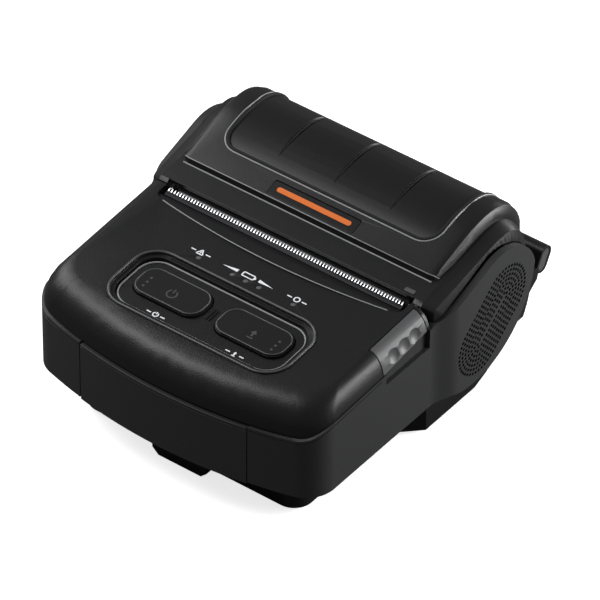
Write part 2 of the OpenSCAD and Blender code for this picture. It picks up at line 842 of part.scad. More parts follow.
// The black rear shell: back wall of the roll compartment, with the hinge knuckles
shell_x = half_w - wall;
knuckle_in = 8;
knuckle_out = 20;
knuckle_gap = 0.3;
cover_knuckle = 32;
module rear_shell() {
    color(black) difference() {
        union() {
            across(-shell_x, shell_x) intersection() {
                difference() {
                    translate([roll_y, roll_z]) circle(drum_r, $fn = 128);
                    translate([roll_y, roll_z]) circle(well_r, $fn = 128);
                }
                translate([roll_y + 10, rim_z]) square([30, 28]);
            }
            // upright end walls beside the ears
            both_sides() across(shell_x - 1.6, shell_x) intersection() {
                translate([roll_y, roll_z]) circle(drum_r, $fn = 128);
                translate([roll_y + 12, rim_z]) square([30, 24]);
            }
            both_sides() across(knuckle_in, knuckle_out) {
                translate([hinge_y, hinge_z]) circle(knuckle_r);
                translate([hinge_y - 1, hinge_z - 6]) square([knuckle_r + 1, 6]);
            }
        }
        // room for the cover's edge to turn in
        both_sides() bar(2 * trough_r, knuckle_out + knuckle_gap, shell_x + 1, hinge_y, hinge_z);
        bar(2 * trough_r, -knuckle_in, knuckle_in, hinge_y, hinge_z);
        bar(pin_d, -50, 50, hinge_y, hinge_z);
    }
}
module hinge_pin() {
    color(steel) bar(pin_d, -cover_knuckle - 1, cover_knuckle + 1, hinge_y, hinge_z);
}
module hinge_spring() {
    color(steel) difference() {
        bar(pin_d + 2.2, -6.6, 6.6, hinge_y, hinge_z);
        bar(pin_d, -7, 7, hinge_y, hinge_z);
    }
}

// The oval strap bar behind the case, on two arms
module strap_oval(h, t) {
    rotate(strap_lean) {
        square([h - t, t], center = true);
        for (s = [-1, 1]) translate([s * (h - t) / 2, 0]) circle(d = t);
    }
}
module strap_bar() {
    arm_x0 = strap_l / 2 - 4.5;
    color(black) difference() {
        union() {
            across(-strap_l / 2, strap_l / 2) translate([strap_y, strap_z]) strap_oval(strap_h, strap_t);
            both_sides() across(arm_x0, strap_l / 2) difference() {
                polygon([[roll_y + drum_r - 3, 18], [roll_y + drum_r - 3, 28], [strap_y - 2, strap_z - 1],
                    [strap_y - 3, strap_z - 5]]);
                translate([roll_y, roll_z]) circle(drum_r, $fn = 128);
            }
        }
        both_sides() across(strap_l / 2 - 1.2, strap_l) translate([strap_y, strap_z])
            strap_oval(strap_h - 1.8, strap_t - 1.8);
    }
}

// The paper cover: a low body with side shoulders and a raised, rounded lid
function top_at(y) = back_z + cover_r - brow_r + sqrt(pow(brow_r, 2) - pow(y - back_y, 2));
function top_line(y0, drop) = concat(
    [for (i = [0:8]) let (y = y0 + (back_y - y0) * i / 8) [y, top_at(y) - drop]],
    [for (a = [80:-10:-5]) [back_y, back_z] + polar(cover_r - drop, a)]
);
module raised_side(drop) {
    polygon(concat([[body_y + 0.6 + drop, lip_z - 3], [body_y + drop, lip_z - 2],
        [body_y + 0.7 + drop, lip_z + 2.7 - drop]], top_line(ridge_y, drop), [[100, hinge_z], [75, 45]]));
}
module raised_slab(x, drop) {
    for (s = [-1, 1]) translate([s * x, 0, 0]) across(-0.005, 0.005) raised_side(drop);
}
module raised_lid(inset) {
    hull() {
        raised_slab(raised_x - 3 - inset, inset);
        raised_slab(raised_x - 1 - inset, 0.7 + inset);
        raised_slab(raised_x - inset, 2.4 + inset);
    }
}
shoulder_drop = 4.2;
module shoulder_side(drop) {
    polygon(concat([[seam_y + drop, 43], [seam_y + drop, lip_z - 1.4 - drop], [seam_y + 1 + drop, lip_z - 0.6 - drop],
        [body_y + 3, lip_z + 0.5 - drop]], top_line(ridge_y + 6, shoulder_drop + drop), [[hinge_y, 30], [70, 30]]));
}
module shoulder_body(inset) {
    hull() {
        for (s = [-1, 1]) {
            translate([s * (raised_x + 1 - inset), 0, 0]) across(0, 0.01) shoulder_side(inset);
            translate([s * (half_w - 0.7 - inset), 0, 0]) across(0, 0.01) shoulder_side(inset + 1.6);
            translate([s * (half_w + 0.4 - inset), 0, 0]) across(0, 0.01) shoulder_side(inset + 5);
        }
    }
}
rib_x = [12, 36];
module cover_knuckles() {
    both_sides() across(knuckle_out + knuckle_gap, cover_knuckle) translate([hinge_y, hinge_z])
        circle(knuckle_r);
}
module cover_shape(inset) {
    raised_lid(inset);
    shoulder_body(inset);
}
module paper_cover() {
    color(black) difference() {
        union() {
            intersection() {
                difference() {
                    cover_shape(0);
                    cover_shape(cover_t);
                }
                across(-60, 60) above_cover_split();
            }
            cover_knuckles();
            // ribs that the platen's bracket is screwed to
            both_sides() for (x = rib_x) across(x - 1, x + 1) intersection() {
                raised_side(1);
                polygon([[70, bracket_z + 0.4], [77, bracket_z + 2], [77, 60], [70, 60]]);
            }
        }
        // the middle of the rear edge is notched for the shell's knuckles
        translate([-knuckle_out - knuckle_gap, hinge_y - 5, hinge_z - 8])
            cube([2 * (knuckle_out + knuckle_gap), 12, 12.2]);
        panel_recess();
        badge_recess();
        bar(pin_d + 2 * fit, -50, 50, hinge_y, hinge_z);
        // behind the paper slot the lip starts later, and its underside is open for the platen
        translate([-slot_x - 0.3, seam_y - 2, 30]) cube([2 * slot_x + 0.6, lip_y - seam_y + 2, 40]);
        translate([-plate_x1 - 0.6, lip_y - 3, 30]) cube([2 * plate_x1 + 1.2, 14, platen_z + 4.4 - 30]);
        // pocket round the platen's gear
        bar(2 * gear_pocket, gear_x - gear_w - 0.5, gear_x + 0.5, platen_y, platen_z);
    }
}
gear_pocket = gear_m * platen_teeth / 2 + 1;
bracket_z = 48;
module above_cover_split() {
    difference() {
        translate([seam_y - 1, 38]) square([60, 40]);
        translate([0, split_gap]) below_split();
        translate([hinge_y - 3, 30]) square([20, hinge_z + 0.3 - 30]);
    }
}

// The smooth panel let into the lid, with three creases that deepen to the rear
panel_x = 37.5;
panel_y0 = 74.7;
panel_y1 = back_y + cover_r + 1;
panel_depth = 1.3;
panel_drop = 0.35;
module panel_plan(grow) {
    translate([0, (panel_y0 + panel_y1) / 2]) soft_rect(2 * (panel_x + grow), panel_y1 - panel_y0 + 2 * grow, 6);
}
panel_low = hinge_z + 4.7;
module panel_side(outer, inner, low) {
    difference() {
        polygon(concat([[panel_y0 - 2, 40]], top_line(panel_y0 - 2, outer), [[back_y, 40]]));
        polygon(concat([[panel_y0 - 3, 30]], top_line(panel_y0 - 3, inner), [[back_y, 30]]));
        translate([0, low - 20]) square([200, 20]);
    }
}
module panel_recess() {
    intersection() {
        translate([0, 0, 40]) linear_extrude(40) panel_plan(0);
        across(-50, 50) panel_side(-1, panel_depth, panel_low - 0.1);
    }
}
// A crease is a groove with sloping flanks: it follows the round back at an even depth,
// then a flatter arc brings it up to the surface towards the front
crease_x = 19.4;
crease_drop = 1.05;
crease_y0 = 79;
crease_flank = 1.2;
module crease() {
    rise = top_at(back_y) - crease_drop - (top_at(crease_y0) - panel_drop);
    fade_r = (pow(back_y - crease_y0, 2) + pow(rise, 2)) / (2 * rise);
    back_r = cover_r - crease_drop;
    groove(back_r, back_z, 0);
    groove(fade_r, back_z + back_r - fade_r, -60);
}
module groove(r, z, side) {
    intersection() {
        translate([0, back_y, z]) rotate([0, 90, 0]) rotate_extrude($fn = 128)
            polygon([[r, 0], [r + 3, -3 * crease_flank], [r + 3, 3 * crease_flank]]);
        translate([-10, back_y + side, 0]) cube([20, 60, 80]);
    }
}
module cover_panel() {
    color(dark) difference() {
        intersection() {
            translate([0, 0, 40]) linear_extrude(40) panel_plan(-0.1);
            across(-50, 50) panel_side(panel_drop, panel_depth, panel_low);
        }
        for (x = [-crease_x, 0, crease_x]) translate([x, 0, 0]) crease();
    }
}

// The bare badge plate in front of the panel
badge_l = 30;
badge_w = 4.6;
module on_brow() {
    slope = atan((top_at(ridge_y) - (lip_z + 2.7)) / (ridge_y - body_y - 0.7));
    translate([0, body_y + 0.7, lip_z + 2.7]) rotate([slope, 0, 0]) translate([0, 3, 0]) children();
}
module badge_recess() {
    on_brow() translate([0, 0, -0.5]) linear_extrude(3) soft_rect(badge_l, badge_w, 0.6);
}
module cover_badge() {
    color(dark) on_brow() translate([0, 0, -0.5]) linear_extrude(0.6) soft_rect(badge_l - 0.2, badge_w - 0.2, 0.5);
}

// The bracket inside the cover's lip that carries the platen
module platen_bracket() {
    color(dark) difference() {
        union() {
            both_sides() across(plate_x0 - 1.3, plate_x0 - 0.2) polygon([
                [platen_y - 2.6, platen_z - 2.6], [platen_y + 4, platen_z - 3.4], [78, 46],
                [78, bracket_z + 1], [70, bracket_z - 0.6], [platen_y - 2.6, bracket_z]
            ]);
            across(-plate_x0 + 0.2, plate_x0 - 0.2) polygon([[70, bracket_z - 1], [77, bracket_z + 0.6],
                [77, bracket_z + 2], [70, bracket_z + 0.4]]);
        }
        bar(bush_d + 1.6, -50, 50, platen_y, platen_z);
    }
}

// The pale release lever on the right shoulder, with its stem and foot
lever_x = half_w - 5;
stem_x0 = 46.1;
stem_x1 = 47.1;
stem_pins = [43.5, 49.5];
stem_pin_d = 2;
stem_pin_z = 37;
foot_y = 72.5;
foot_z = 30.5;
crank_x0 = plate_x1 + 0.2;
crank_x1 = stem_x0 - 0.2;
crank_z = foot_z + 2.2;
ledge_z = 40.6;
module lever_cut(gap) {
    translate([lever_x - gap, lever_y0 - gap, 20]) cube([12, lever_y1 - lever_y0 + 2 * gap, 40]);
}
// Three scoops in the lever's outer face, that meet in sharp ridges for the fingertip
scoop_r = 5;
scoop_deep = 0.65;
scoop_a = 35;
scoop_pitch = 4.8;
module scoops() {
    out = [cos(scoop_a) / side_round, sin(scoop_a) / shoulder_r];
    reach = scoop_r - scoop_deep;
    x = half_w - side_round * (1 - cos(scoop_a)) + reach * out[0] / norm(out);
    drop = shoulder_r * (1 - sin(scoop_a)) - reach * out[1] / norm(out);
    for (i = [-1:1]) on_panel((lever_y0 + lever_y1) / 2 + i * scoop_pitch)
        translate([x, 0, -drop]) sphere(scoop_r, $fn = 48);
}
module release_lever() {
    color(grey) {
        difference() {
            intersection() {
                difference() {
                    front_dome(-0.05, 80);
                    front_dome(2.4, 80);
                }
                translate([lever_x, lever_y0, 30]) cube([12, lever_y1 - lever_y0, 40]);
                across(0, 60) above_split(split_gap);
            }
            scoops();
        }
        across(stem_x0, stem_x1) difference() {
            polygon([[41, foot_z], [foot_y, foot_z], [foot_y, foot_z + 1.8], [56, foot_z + 1.8],
                [55.8, foot_z + 3.5], [53, foot_z + 3.5], [53, 46], [41, 46]]);
            for (y = stem_pins) translate([y - stem_pin_d / 2 - 0.1, stem_pin_z - stem_pin_d / 2 - lever_travel - 0.1])
                square([stem_pin_d + 0.2, lever_travel + stem_pin_d + 0.2]);
        }
        // foot below the crank
        translate([crank_x0, foot_y - 2, foot_z]) cube([stem_x1 - crank_x0, 2, 1.8]);
    }
}
module lever_spring() {
    color(steel) translate([(plate_x1 + stem_x1) / 2 + 0.2, 54.6, foot_z + 3.5])
        cylinder(d = 1.8, h = ledge_z - foot_z - 3.5);
}
module latch_rod() {
    color(steel) {
        bar(rod_d, -plate_x1 - 0.2, crank_x1, rod_y, rod_z);
        across(crank_x0, crank_x1) polygon([[rod_y - 1, rod_z + 1.2], [rod_y - 1, rod_z - 1.2],
            [foot_y - 1, crank_z], [foot_y - 0.4, crank_z + 0.6], [foot_y - 1, crank_z + 1.6]]);
    }
}
hook_plate_x = plate_x0 - 2.2;
module latch_hooks() {
    color(steel) both_sides() across(hook_plate_x, hook_plate_x + 0.8) difference() {
        union() {
            polygon([[rod_y - 2.2, rod_z], [rod_y + 2.2, rod_z], [platen_y - 2.9, platen_z - 2.4],
                [platen_y - 2.5, platen_z + 1], [platen_y - 2.6, platen_z + 2.4],
                [platen_y - 4.4, platen_z + 2.8], [platen_y - 5.6, platen_z]]);
            translate([rod_y, rod_z]) circle(2.3);
        }
        translate([rod_y, rod_z]) circle(d = rod_d);
    }
}

// The battery pack, its contacts and its latch
tab_x = 10;
hook_x = 6;
notch_l = 3;
module battery_pack() {
    color(grey) difference() {
        translate([0, 0, battery_z]) linear_extrude(battery_h) intersection() {
            flared_plan(0);
            translate([-battery_w / 2, 0]) square([battery_w, battery_l]);
        }
        translate([-hook_x - 0.8, notch_y - notch_l / 2, battery_z - 1]) cube([2 * hook_x + 1.6, notch_l, 2.2]);
        split_line();
    }
}
module battery_contacts() {
    color(brass) for (i = [-1.5:1:1.5]) translate([i * 5 - 1, battery_l + 0.2, battery_z + 6])
        cube([2, cross_y - battery_l - 0.2, 7]);
}
module battery_latch() {
    color(black) difference() {
        union() {
            translate([0, 9.8, 0]) rotate([-90, 0, 0]) linear_extrude(2.6)
                polygon([[-tab_x, -11.2], [tab_x, -11.2], [tab_x - 0.5, -2.4], [tab_x - 2.5, -0.5],
                    [-tab_x + 2.5, -0.5], [-tab_x + 0.5, -2.4]]);
            translate([-hook_x, 12, latch_z - 1.6]) cube([2 * hook_x, notch_y + 0.8 - 12, 2.8]);
            bar(4.2, -hook_x, hook_x, latch_y, latch_z);
            translate([-hook_x, notch_y - 0.6, latch_z]) cube([2 * hook_x, 1.4, battery_z - 0.15 - latch_z]);
        }
        bar(latch_pin_d + 2 * fit, -20, 20, latch_y, latch_z);
    }
}
module latch_pin() {
    color(steel) bar(latch_pin_d, -11.6, 11.6, latch_y, latch_z);
}

// The rubber flap over the two sockets on the left side
module port_flap() {
    color(rubber) {
        translate([-half_w + 0.05, port_y - flap_l / 2, port_z - flap_h / 2])
            cube([flap_t - 0.1, flap_l, flap_h]);
    }
}
module power_jack() {
    color(dark) translate([-half_w + wall + 0.05, port_y - 8.4, rim_z + wall]) difference() {
        cube([12, 8.4, 11.4]);
        translate([-1, 4.2, port_z - rim_z - wall]) rotate([0, 90, 0]) cylinder(d = 6, h = 10);
    }
    color(brass) bar(1.6, -half_w + wall + 1, -half_w + wall + 10, port_y - 4.2, port_z);
}
module data_socket() {
    color(steel) translate([-half_w + wall + 0.05, port_y + 1.4, rim_z + wall]) difference() {
        cube([7, 7.6, port_z + 2 - rim_z - wall]);
        translate([-1, 0.6, port_z - 1.4 - rim_z - wall]) cube([6, 6.4, 2.8]);
    }
}

in_frame() lower_case();
in_frame() base_cover();
in_frame() rubber_feet();
in_frame() case_screws();
in_frame() front_case();
in_frame() pod_rims();
in_frame() power_button();
in_frame() feed_button();
in_frame() key_mat();
in_frame() status_lights();
in_frame() main_board();
in_frame() tear_bar();
in_frame() chassis();
in_frame() print_head();
in_frame() head_springs();
in_frame() platen_roller();
in_frame() platen_shaft();
in_frame() platen_bushes();
in_frame() platen_gear();
in_frame() idler_gear();
in_frame() idler_pin();
in_frame() motor_pinion();
in_frame() feed_motor();
in_frame() roll_well();
in_frame() guide_left();
in_frame() guide_right();
in_frame() guide_pinion();
in_frame() rear_shell();
in_frame() hinge_pin();
in_frame() hinge_spring();
in_frame() strap_bar();
in_frame() paper_cover();
in_frame() cover_panel();
in_frame() cover_badge();
in_frame() platen_bracket();
in_frame() release_lever();
in_frame() lever_spring();
in_frame() latch_rod();
in_frame() latch_hooks();
in_frame() battery_pack();
in_frame() battery_contacts();
in_frame() battery_latch();
in_frame() latch_pin();
in_frame() port_flap();
in_frame() power_jack();
in_frame() data_socket();
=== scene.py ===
# %% [markdown]
# # A portable label printer
#
# The solids of this printer come from its CAD model, each piece already in its place.
# Blender gives them their looks: soft edges, moulded plastic, brushed steel, rubber,
# the small signs beside the keys, and a plain studio to see them in.
#
# A cell of text like this one comes before each step. It says what the thing is on
# the real printer, how it could be made, and why it is made in the way that follows.

import json
import math

import bmesh
import bpy
from mathutils import Matrix, Vector


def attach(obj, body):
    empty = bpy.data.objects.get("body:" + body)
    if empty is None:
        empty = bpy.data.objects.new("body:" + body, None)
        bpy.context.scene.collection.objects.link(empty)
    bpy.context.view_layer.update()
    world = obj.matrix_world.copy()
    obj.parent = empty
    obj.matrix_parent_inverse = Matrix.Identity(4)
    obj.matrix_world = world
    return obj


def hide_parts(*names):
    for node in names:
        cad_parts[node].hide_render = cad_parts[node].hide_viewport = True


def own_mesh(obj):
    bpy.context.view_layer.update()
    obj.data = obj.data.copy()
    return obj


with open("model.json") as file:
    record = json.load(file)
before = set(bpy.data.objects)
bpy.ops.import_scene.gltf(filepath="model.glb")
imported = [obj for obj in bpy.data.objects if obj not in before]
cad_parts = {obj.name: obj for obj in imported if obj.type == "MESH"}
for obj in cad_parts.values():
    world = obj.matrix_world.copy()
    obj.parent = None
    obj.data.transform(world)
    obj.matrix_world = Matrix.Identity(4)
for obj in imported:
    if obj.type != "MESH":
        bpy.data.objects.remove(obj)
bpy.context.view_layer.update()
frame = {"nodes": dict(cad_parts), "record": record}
nodes = frame["nodes"]
print("pieces from the CAD model:", len(nodes))

# %% [markdown]
# ## One set of measures
#
# The printer is measured in millimetres from its front face, so that every number
# below can be held against the real object. `at` turns such a place into the metres
# of the shared frame, whose middle lies half the printer's length behind the front.
# The sloping control panel carries many small things, so its height is a function
# that all of them use.

# %% Measures of the printer
MM = 0.001
LENGTH = 119.5
HALF = LENGTH / 2
LIGHTS_Y = 39.6
PANEL_Z = 47.3
PANEL_SLOPE = math.radians(3.8)


def at(x, y, z):
    """A place in millimetres from the front face, in the frame's metres."""
    return Vector((x * MM, (y - HALF) * MM, z * MM))


def panel_height(y):
    """Height of the sloping control panel at a distance from the front face."""
    return PANEL_Z + (y - LIGHTS_Y) * math.tan(PANEL_SLOPE)


print("panel rises from", round(panel_height(10), 2), "to", round(panel_height(55), 2), "mm")

# %% [markdown]
# ## The camera
#
# The photograph was taken from the front right, well above the printer, with a long
# lens. A camera could be placed by hand until it looks right, but three angles, a
# distance and a lens say the same and can be changed one at a time. It stands on a
# ball round a point inside the printer, below the paper slot.

# %% Camera directions
AZIMUTH = math.radians(37.08)
ELEVATION = math.radians(39.79)
ROLL = math.radians(0.47)

right = Vector((math.cos(AZIMUTH), math.sin(AZIMUTH), 0))
back = Vector(
    (
        math.sin(AZIMUTH) * math.cos(ELEVATION),
        -math.cos(AZIMUTH) * math.cos(ELEVATION),
        math.sin(ELEVATION),
    )
)
up = back.cross(right)
camera_right = right * math.cos(ROLL) + up * math.sin(ROLL)
camera_up = up * math.cos(ROLL) - right * math.sin(ROLL)
print("camera direction:", [round(part, 3) for part in back])

# %% The camera itself
DISTANCE = 1.7986
SENSOR = 36.0
LENS = 389.5
AIM_RIGHT = 1.77
AIM_DOWN = 10.75
NEAREST = 0.05
FARTHEST = 20

target = at(0, 61.5, 40) + right * AIM_RIGHT * MM - up * AIM_DOWN * MM
camera_data = bpy.data.cameras.new("studio_camera")
camera_data.sensor_width = SENSOR
camera_data.lens = LENS
camera_data.clip_start = NEAREST
camera_data.clip_end = FARTHEST
camera = bpy.data.objects.new("studio_camera", camera_data)
bpy.context.scene.collection.objects.link(camera)
turn = Matrix((camera_right, camera_up, back)).transposed().to_4x4()
camera.matrix_world = Matrix.Translation(target + back * DISTANCE) @ turn
bpy.context.scene.camera = camera
print("camera stands", round(DISTANCE * 1000), "mm from its target")

# %% [markdown]
# ## Making a material
#
# Every finish is a Principled BSDF fed by a few procedural nodes. Node trees made in
# code grow long, so a few helpers keep the recipes short: one adds a node with its
# settings, one links two sockets, one starts a node group, and one lists what every
# group here gives. A group is built once and then used in many materials, each with
# its own values.

# %% Small helpers for node trees
NUMBER = "NodeSocketFloat"
COLOUR = "NodeSocketColor"


def add_node(tree, kind, inputs=None, **settings):
    """A new node of that kind with its settings, and with values on some inputs."""
    made = tree.nodes.new(kind)
    for name, value in settings.items():
        setattr(made, name, value)
    for socket, value in (inputs or {}).items():
        made.inputs[socket].default_value = value
    return made


def join(tree, source, sink):
    """A link from one socket to another."""
    tree.links.new(source, sink)


def new_group(name, inputs, outputs):
    """An empty shader node group with named inputs and outputs."""
    tree = bpy.data.node_groups.new(name, "ShaderNodeTree")
    for label, kind, value in inputs:
        socket = tree.interface.new_socket(label, in_out="INPUT", socket_type=kind)
        socket.default_value = value
    for label, kind in outputs:
        tree.interface.new_socket(label, in_out="OUTPUT", socket_type=kind)
    return tree, add_node(tree, "NodeGroupInput"), add_node(tree, "NodeGroupOutput")


def group_outputs():
    """What every finish group gives: a colour, a roughness and a height."""
    return [("Colour", COLOUR), ("Roughness", NUMBER), ("Height", NUMBER)]


print("helpers for node trees are ready")

# %% [markdown]
# ## Moulded grain
#
# Injection moulded plastic carries the fine sand-blasted grain of its mould. A photo
# of such a surface would fix one scale and one place, so two noises do it instead: a
# fine one for the grains, and a broad one for the slight unevenness of gloss that
# any large moulding shows. The group gives a height for a Bump node, a roughness and
# a colour that varies a little.

# %% The moulded grain group
GRAIN_DETAIL = 2.0
GRAIN_SOFTNESS = 0.6
BROAD_SCALE = 42.0
BROAD_DETAIL = 3.0
NOISE_MIDDLE = 0.5
SPECK_SWING = 0.5
SPECK_BASE = 0.75


def build_grain_group():
    """Grain height, roughness and colour for moulded plastic."""
    wanted = [
        ("Colour", COLOUR, (0.02, 0.02, 0.02, 1)),
        ("Grain size", NUMBER, 3200.0),
        ("Roughness", NUMBER, 0.45),
        ("Unevenness", NUMBER, 0.08),
    ]
    tree, source, sink = new_group("moulded_grain", wanted, group_outputs())
    place = add_node(tree, "ShaderNodeTexCoord")
    fine = {"Detail": GRAIN_DETAIL, "Roughness": GRAIN_SOFTNESS}
    grain = add_node(tree, "ShaderNodeTexNoise", fine, noise_dimensions="3D")
    join(tree, place.outputs["Object"], grain.inputs["Vector"])
    join(tree, source.outputs["Grain size"], grain.inputs["Scale"])
    wide = {"Scale": BROAD_SCALE, "Detail": BROAD_DETAIL}
    broad = add_node(tree, "ShaderNodeTexNoise", wide, noise_dimensions="3D")
    join(tree, place.outputs["Object"], broad.inputs["Vector"])

    level = add_node(tree, "ShaderNodeMath", {1: NOISE_MIDDLE}, operation="SUBTRACT")
    join(tree, broad.outputs["Fac"], level.inputs[0])
    swing = add_node(tree, "ShaderNodeMath", operation="MULTIPLY_ADD")
    join(tree, level.outputs[0], swing.inputs[0])
    join(tree, source.outputs["Unevenness"], swing.inputs[1])
    join(tree, source.outputs["Roughness"], swing.inputs[2])
    join(tree, swing.outputs[0], sink.inputs["Roughness"])

    spread = {1: SPECK_SWING, 2: SPECK_BASE}
    speck = add_node(tree, "ShaderNodeMath", spread, operation="MULTIPLY_ADD")
    join(tree, grain.outputs["Fac"], speck.inputs[0])
    tint = add_node(tree, "ShaderNodeVectorMath", operation="SCALE")
    join(tree, source.outputs["Colour"], tint.inputs[0])
    join(tree, speck.outputs[0], tint.inputs["Scale"])
    join(tree, tint.outputs[0], sink.inputs["Colour"])
    join(tree, grain.outputs["Fac"], sink.inputs["Height"])
    return tree


grain_group = build_grain_group()
print("group:", grain_group.name)

# %% [markdown]
# ## Brushed streaks
#
# Steel and aluminium parts in a printer are rolled or brushed, so their scratches
# run one way. Anisotropic gloss alone shows only in highlights. A noise that is
# stretched a hundredfold along X gives streaks in the colour and the relief too.

# %% The brushed streaks group
STREAK_STRETCH = (40.0, 4000.0, 4000.0)
STREAK_DETAIL = 2.0
STREAK_SWING = 0.4
STREAK_BASE = 0.8


def build_brushed_group():
    """Streaks along X for rolled or brushed metal."""
    wanted = [
        ("Colour", COLOUR, (0.6, 0.6, 0.62, 1)),
        ("Roughness", NUMBER, 0.3),
        ("Streaks", NUMBER, 0.25),
    ]
    tree, source, sink = new_group("brushed_streaks", wanted, group_outputs())
    place = add_node(tree, "ShaderNodeTexCoord")
    squeeze = add_node(tree, "ShaderNodeMapping", {"Scale": STREAK_STRETCH})
    join(tree, place.outputs["Object"], squeeze.inputs["Vector"])
    plain = {"Scale": 1.0, "Detail": STREAK_DETAIL}
    streak = add_node(tree, "ShaderNodeTexNoise", plain, noise_dimensions="3D")
    join(tree, squeeze.outputs[0], streak.inputs["Vector"])

    rough = add_node(tree, "ShaderNodeMath", operation="MULTIPLY_ADD")
    join(tree, streak.outputs["Fac"], rough.inputs[0])
    join(tree, source.outputs["Streaks"], rough.inputs[1])
    join(tree, source.outputs["Roughness"], rough.inputs[2])
    join(tree, rough.outputs[0], sink.inputs["Roughness"])
    spread = {1: STREAK_SWING, 2: STREAK_BASE}
    shade = add_node(tree, "ShaderNodeMath", spread, operation="MULTIPLY_ADD")
    join(tree, streak.outputs["Fac"], shade.inputs[0])
    tint = add_node(tree, "ShaderNodeVectorMath", operation="SCALE")
    join(tree, source.outputs["Colour"], tint.inputs[0])
    join(tree, shade.outputs[0], tint.inputs["Scale"])
    join(tree, tint.outputs[0], sink.inputs["Colour"])
    join(tree, streak.outputs["Fac"], sink.inputs["Height"])
    return tree


brushed_group = build_brushed_group()
print("group:", brushed_group.name)

# %% [markdown]
# ## The finishes
#
# One function makes every plastic and rubber, another every metal. What differs
# from finish to finish is a handful of numbers: colour, gloss, and how coarse and
# deep the grain is. Numbers that are the same all over a surface, such as the
# specular level, go straight on the shader, because the export reads them only there.

# %% A material round a group
def finish_from(group, name, values, bump, metallic, specular):
    """A Principled material whose colour, roughness and normal come from a group."""
    material = bpy.data.materials.new(name)
    material.use_nodes = True
    tree = material.node_tree
    shader = tree.nodes["Principled BSDF"]
    shader.inputs["Metallic"].default_value = metallic
    shader.inputs["Specular IOR Level"].default_value = specular
    recipe = add_node(tree, "ShaderNodeGroup", node_tree=group)
    for label, value in values.items():
        recipe.inputs[label].default_value = value
    relief = add_node(tree, "ShaderNodeBump", {"Strength": 1.0, "Distance": bump * MM})
    join(tree, recipe.outputs["Colour"], shader.inputs["Base Color"])
    join(tree, recipe.outputs["Roughness"], shader.inputs["Roughness"])
    join(tree, recipe.outputs["Height"], relief.inputs["Height"])
    join(tree, relief.outputs["Normal"], shader.inputs["Normal"])
    return material


def grey(level):
    """A neutral grey of that linear level, a touch cooler than pure grey."""
    return (level * 0.98, level * 0.99, level * 1.02, 1)


def plastic(name, colour, roughness, grain=3200.0, bump=0.01, specular=0.35):
    """A moulded plastic; bump is the depth of its grain in millimetres."""
    values = {"Colour": colour, "Grain size": grain, "Roughness": roughness}
    return finish_from(grain_group, name, values, bump, metallic=0.0, specular=specular)


def metal(name, colour, roughness):
    """A brushed or rolled metal of that colour."""
    values = {"Colour": (*colour, 1), "Roughness": roughness, "Streaks": 0.2}
    return finish_from(brushed_group, name, values, bump=0.004, metallic=1.0, specular=0.5)


print("a grey of level 0.1 is", [round(part, 3) for part in grey(0.1)])

# %% All plastics and metals of the printer
PLASTICS = {
    "black_case": dict(colour=grey(0.009), roughness=0.36, grain=2400.0, bump=0.05, specular=0.32),
    "key_plastic": dict(colour=grey(0.008), roughness=0.5, grain=2400.0, bump=0.02, specular=0.2),
    "dark_plastic": dict(colour=grey(0.012), roughness=0.3, bump=0.008, specular=0.22),
    "grey_case": dict(colour=grey(0.035), roughness=0.46, bump=0.03, specular=0.25),
    "lever_plastic": dict(colour=grey(0.085), roughness=0.4),
    "pale_plastic": dict(colour=grey(0.27), roughness=0.42, bump=0.015),
    "light_lens": dict(colour=grey(0.12), roughness=0.2, bump=0.004),
    "rubber": dict(colour=grey(0.012), roughness=0.75, grain=1500.0, bump=0.05, specular=0.25),
    "board": dict(colour=grey(0.03), roughness=0.4),
    "jack_plastic": dict(colour=grey(0.012), roughness=0.35),
    # Two lighter greys for beads on edges: painted sheen and painted highlights where rounded edges
    # would catch the light.
    "painted_sheen": dict(colour=grey(0.07), roughness=0.3, bump=0.004, specular=0.5),
    "painted_highlight": dict(colour=grey(0.3), roughness=0.3, bump=0.004, specular=0.5),
    "white_ink": dict(colour=grey(0.9), roughness=0.5, bump=0.004),
    "orange_inlay": dict(colour=(0.78, 0.17, 0.02, 1), roughness=0.4, bump=0.006),
}
METALS = {
    "steel": dict(colour=(0.62, 0.63, 0.65), roughness=0.24),
    "head_aluminium": dict(colour=(0.7, 0.7, 0.72), roughness=0.3),
    "brass": dict(colour=(0.72, 0.5, 0.2), roughness=0.24),
    "blackened_steel": dict(colour=(0.03, 0.03, 0.032), roughness=0.5),
}
finishes = {name: plastic(name, **recipe) for name, recipe in PLASTICS.items()}
finishes |= {name: metal(name, **recipe) for name, recipe in METALS.items()}
print("finishes:", ", ".join(sorted(finishes)))

# %% [markdown]
# ## Dressing the CAD pieces
#
# A CAD piece keeps its shape. It gets its finish and, through modifiers, the small
# round that every moulded or stamped edge has: Weld joins the corners that the file
# format split, Bevel rounds the edges, and Weighted Normal keeps the flats flat.
# Rounding in CAD would cost many faces, and a bevel shader would not show in the
# mesh. The blackened tear bar is the one piece that wears another finish than the
# rest of the steel.

# %% Soft edges and finishes on the CAD pieces
WELD_GAP = 0.01
SHARP_ANGLE = 32.0
EDGE_SEGMENTS = 2
FINE_EDGE = 0.12
EDGE = {
    "lower_case": 0.35,
    "base_cover": 0.4,
    "front_case": 0.3,
    "paper_cover": 0.35,
    "cover_panel": 0.08,
    "battery_pack": 0.3,
    "rear_shell": 0.3,
    "strap_bar": 0.3,
    "release_lever": 0.25,
}
OWN_FINISH = {"tear_bar": "blackened_steel"}
slot_of = {row["node"]: row["material_slot"] for row in frame["record"]["subparts"]}


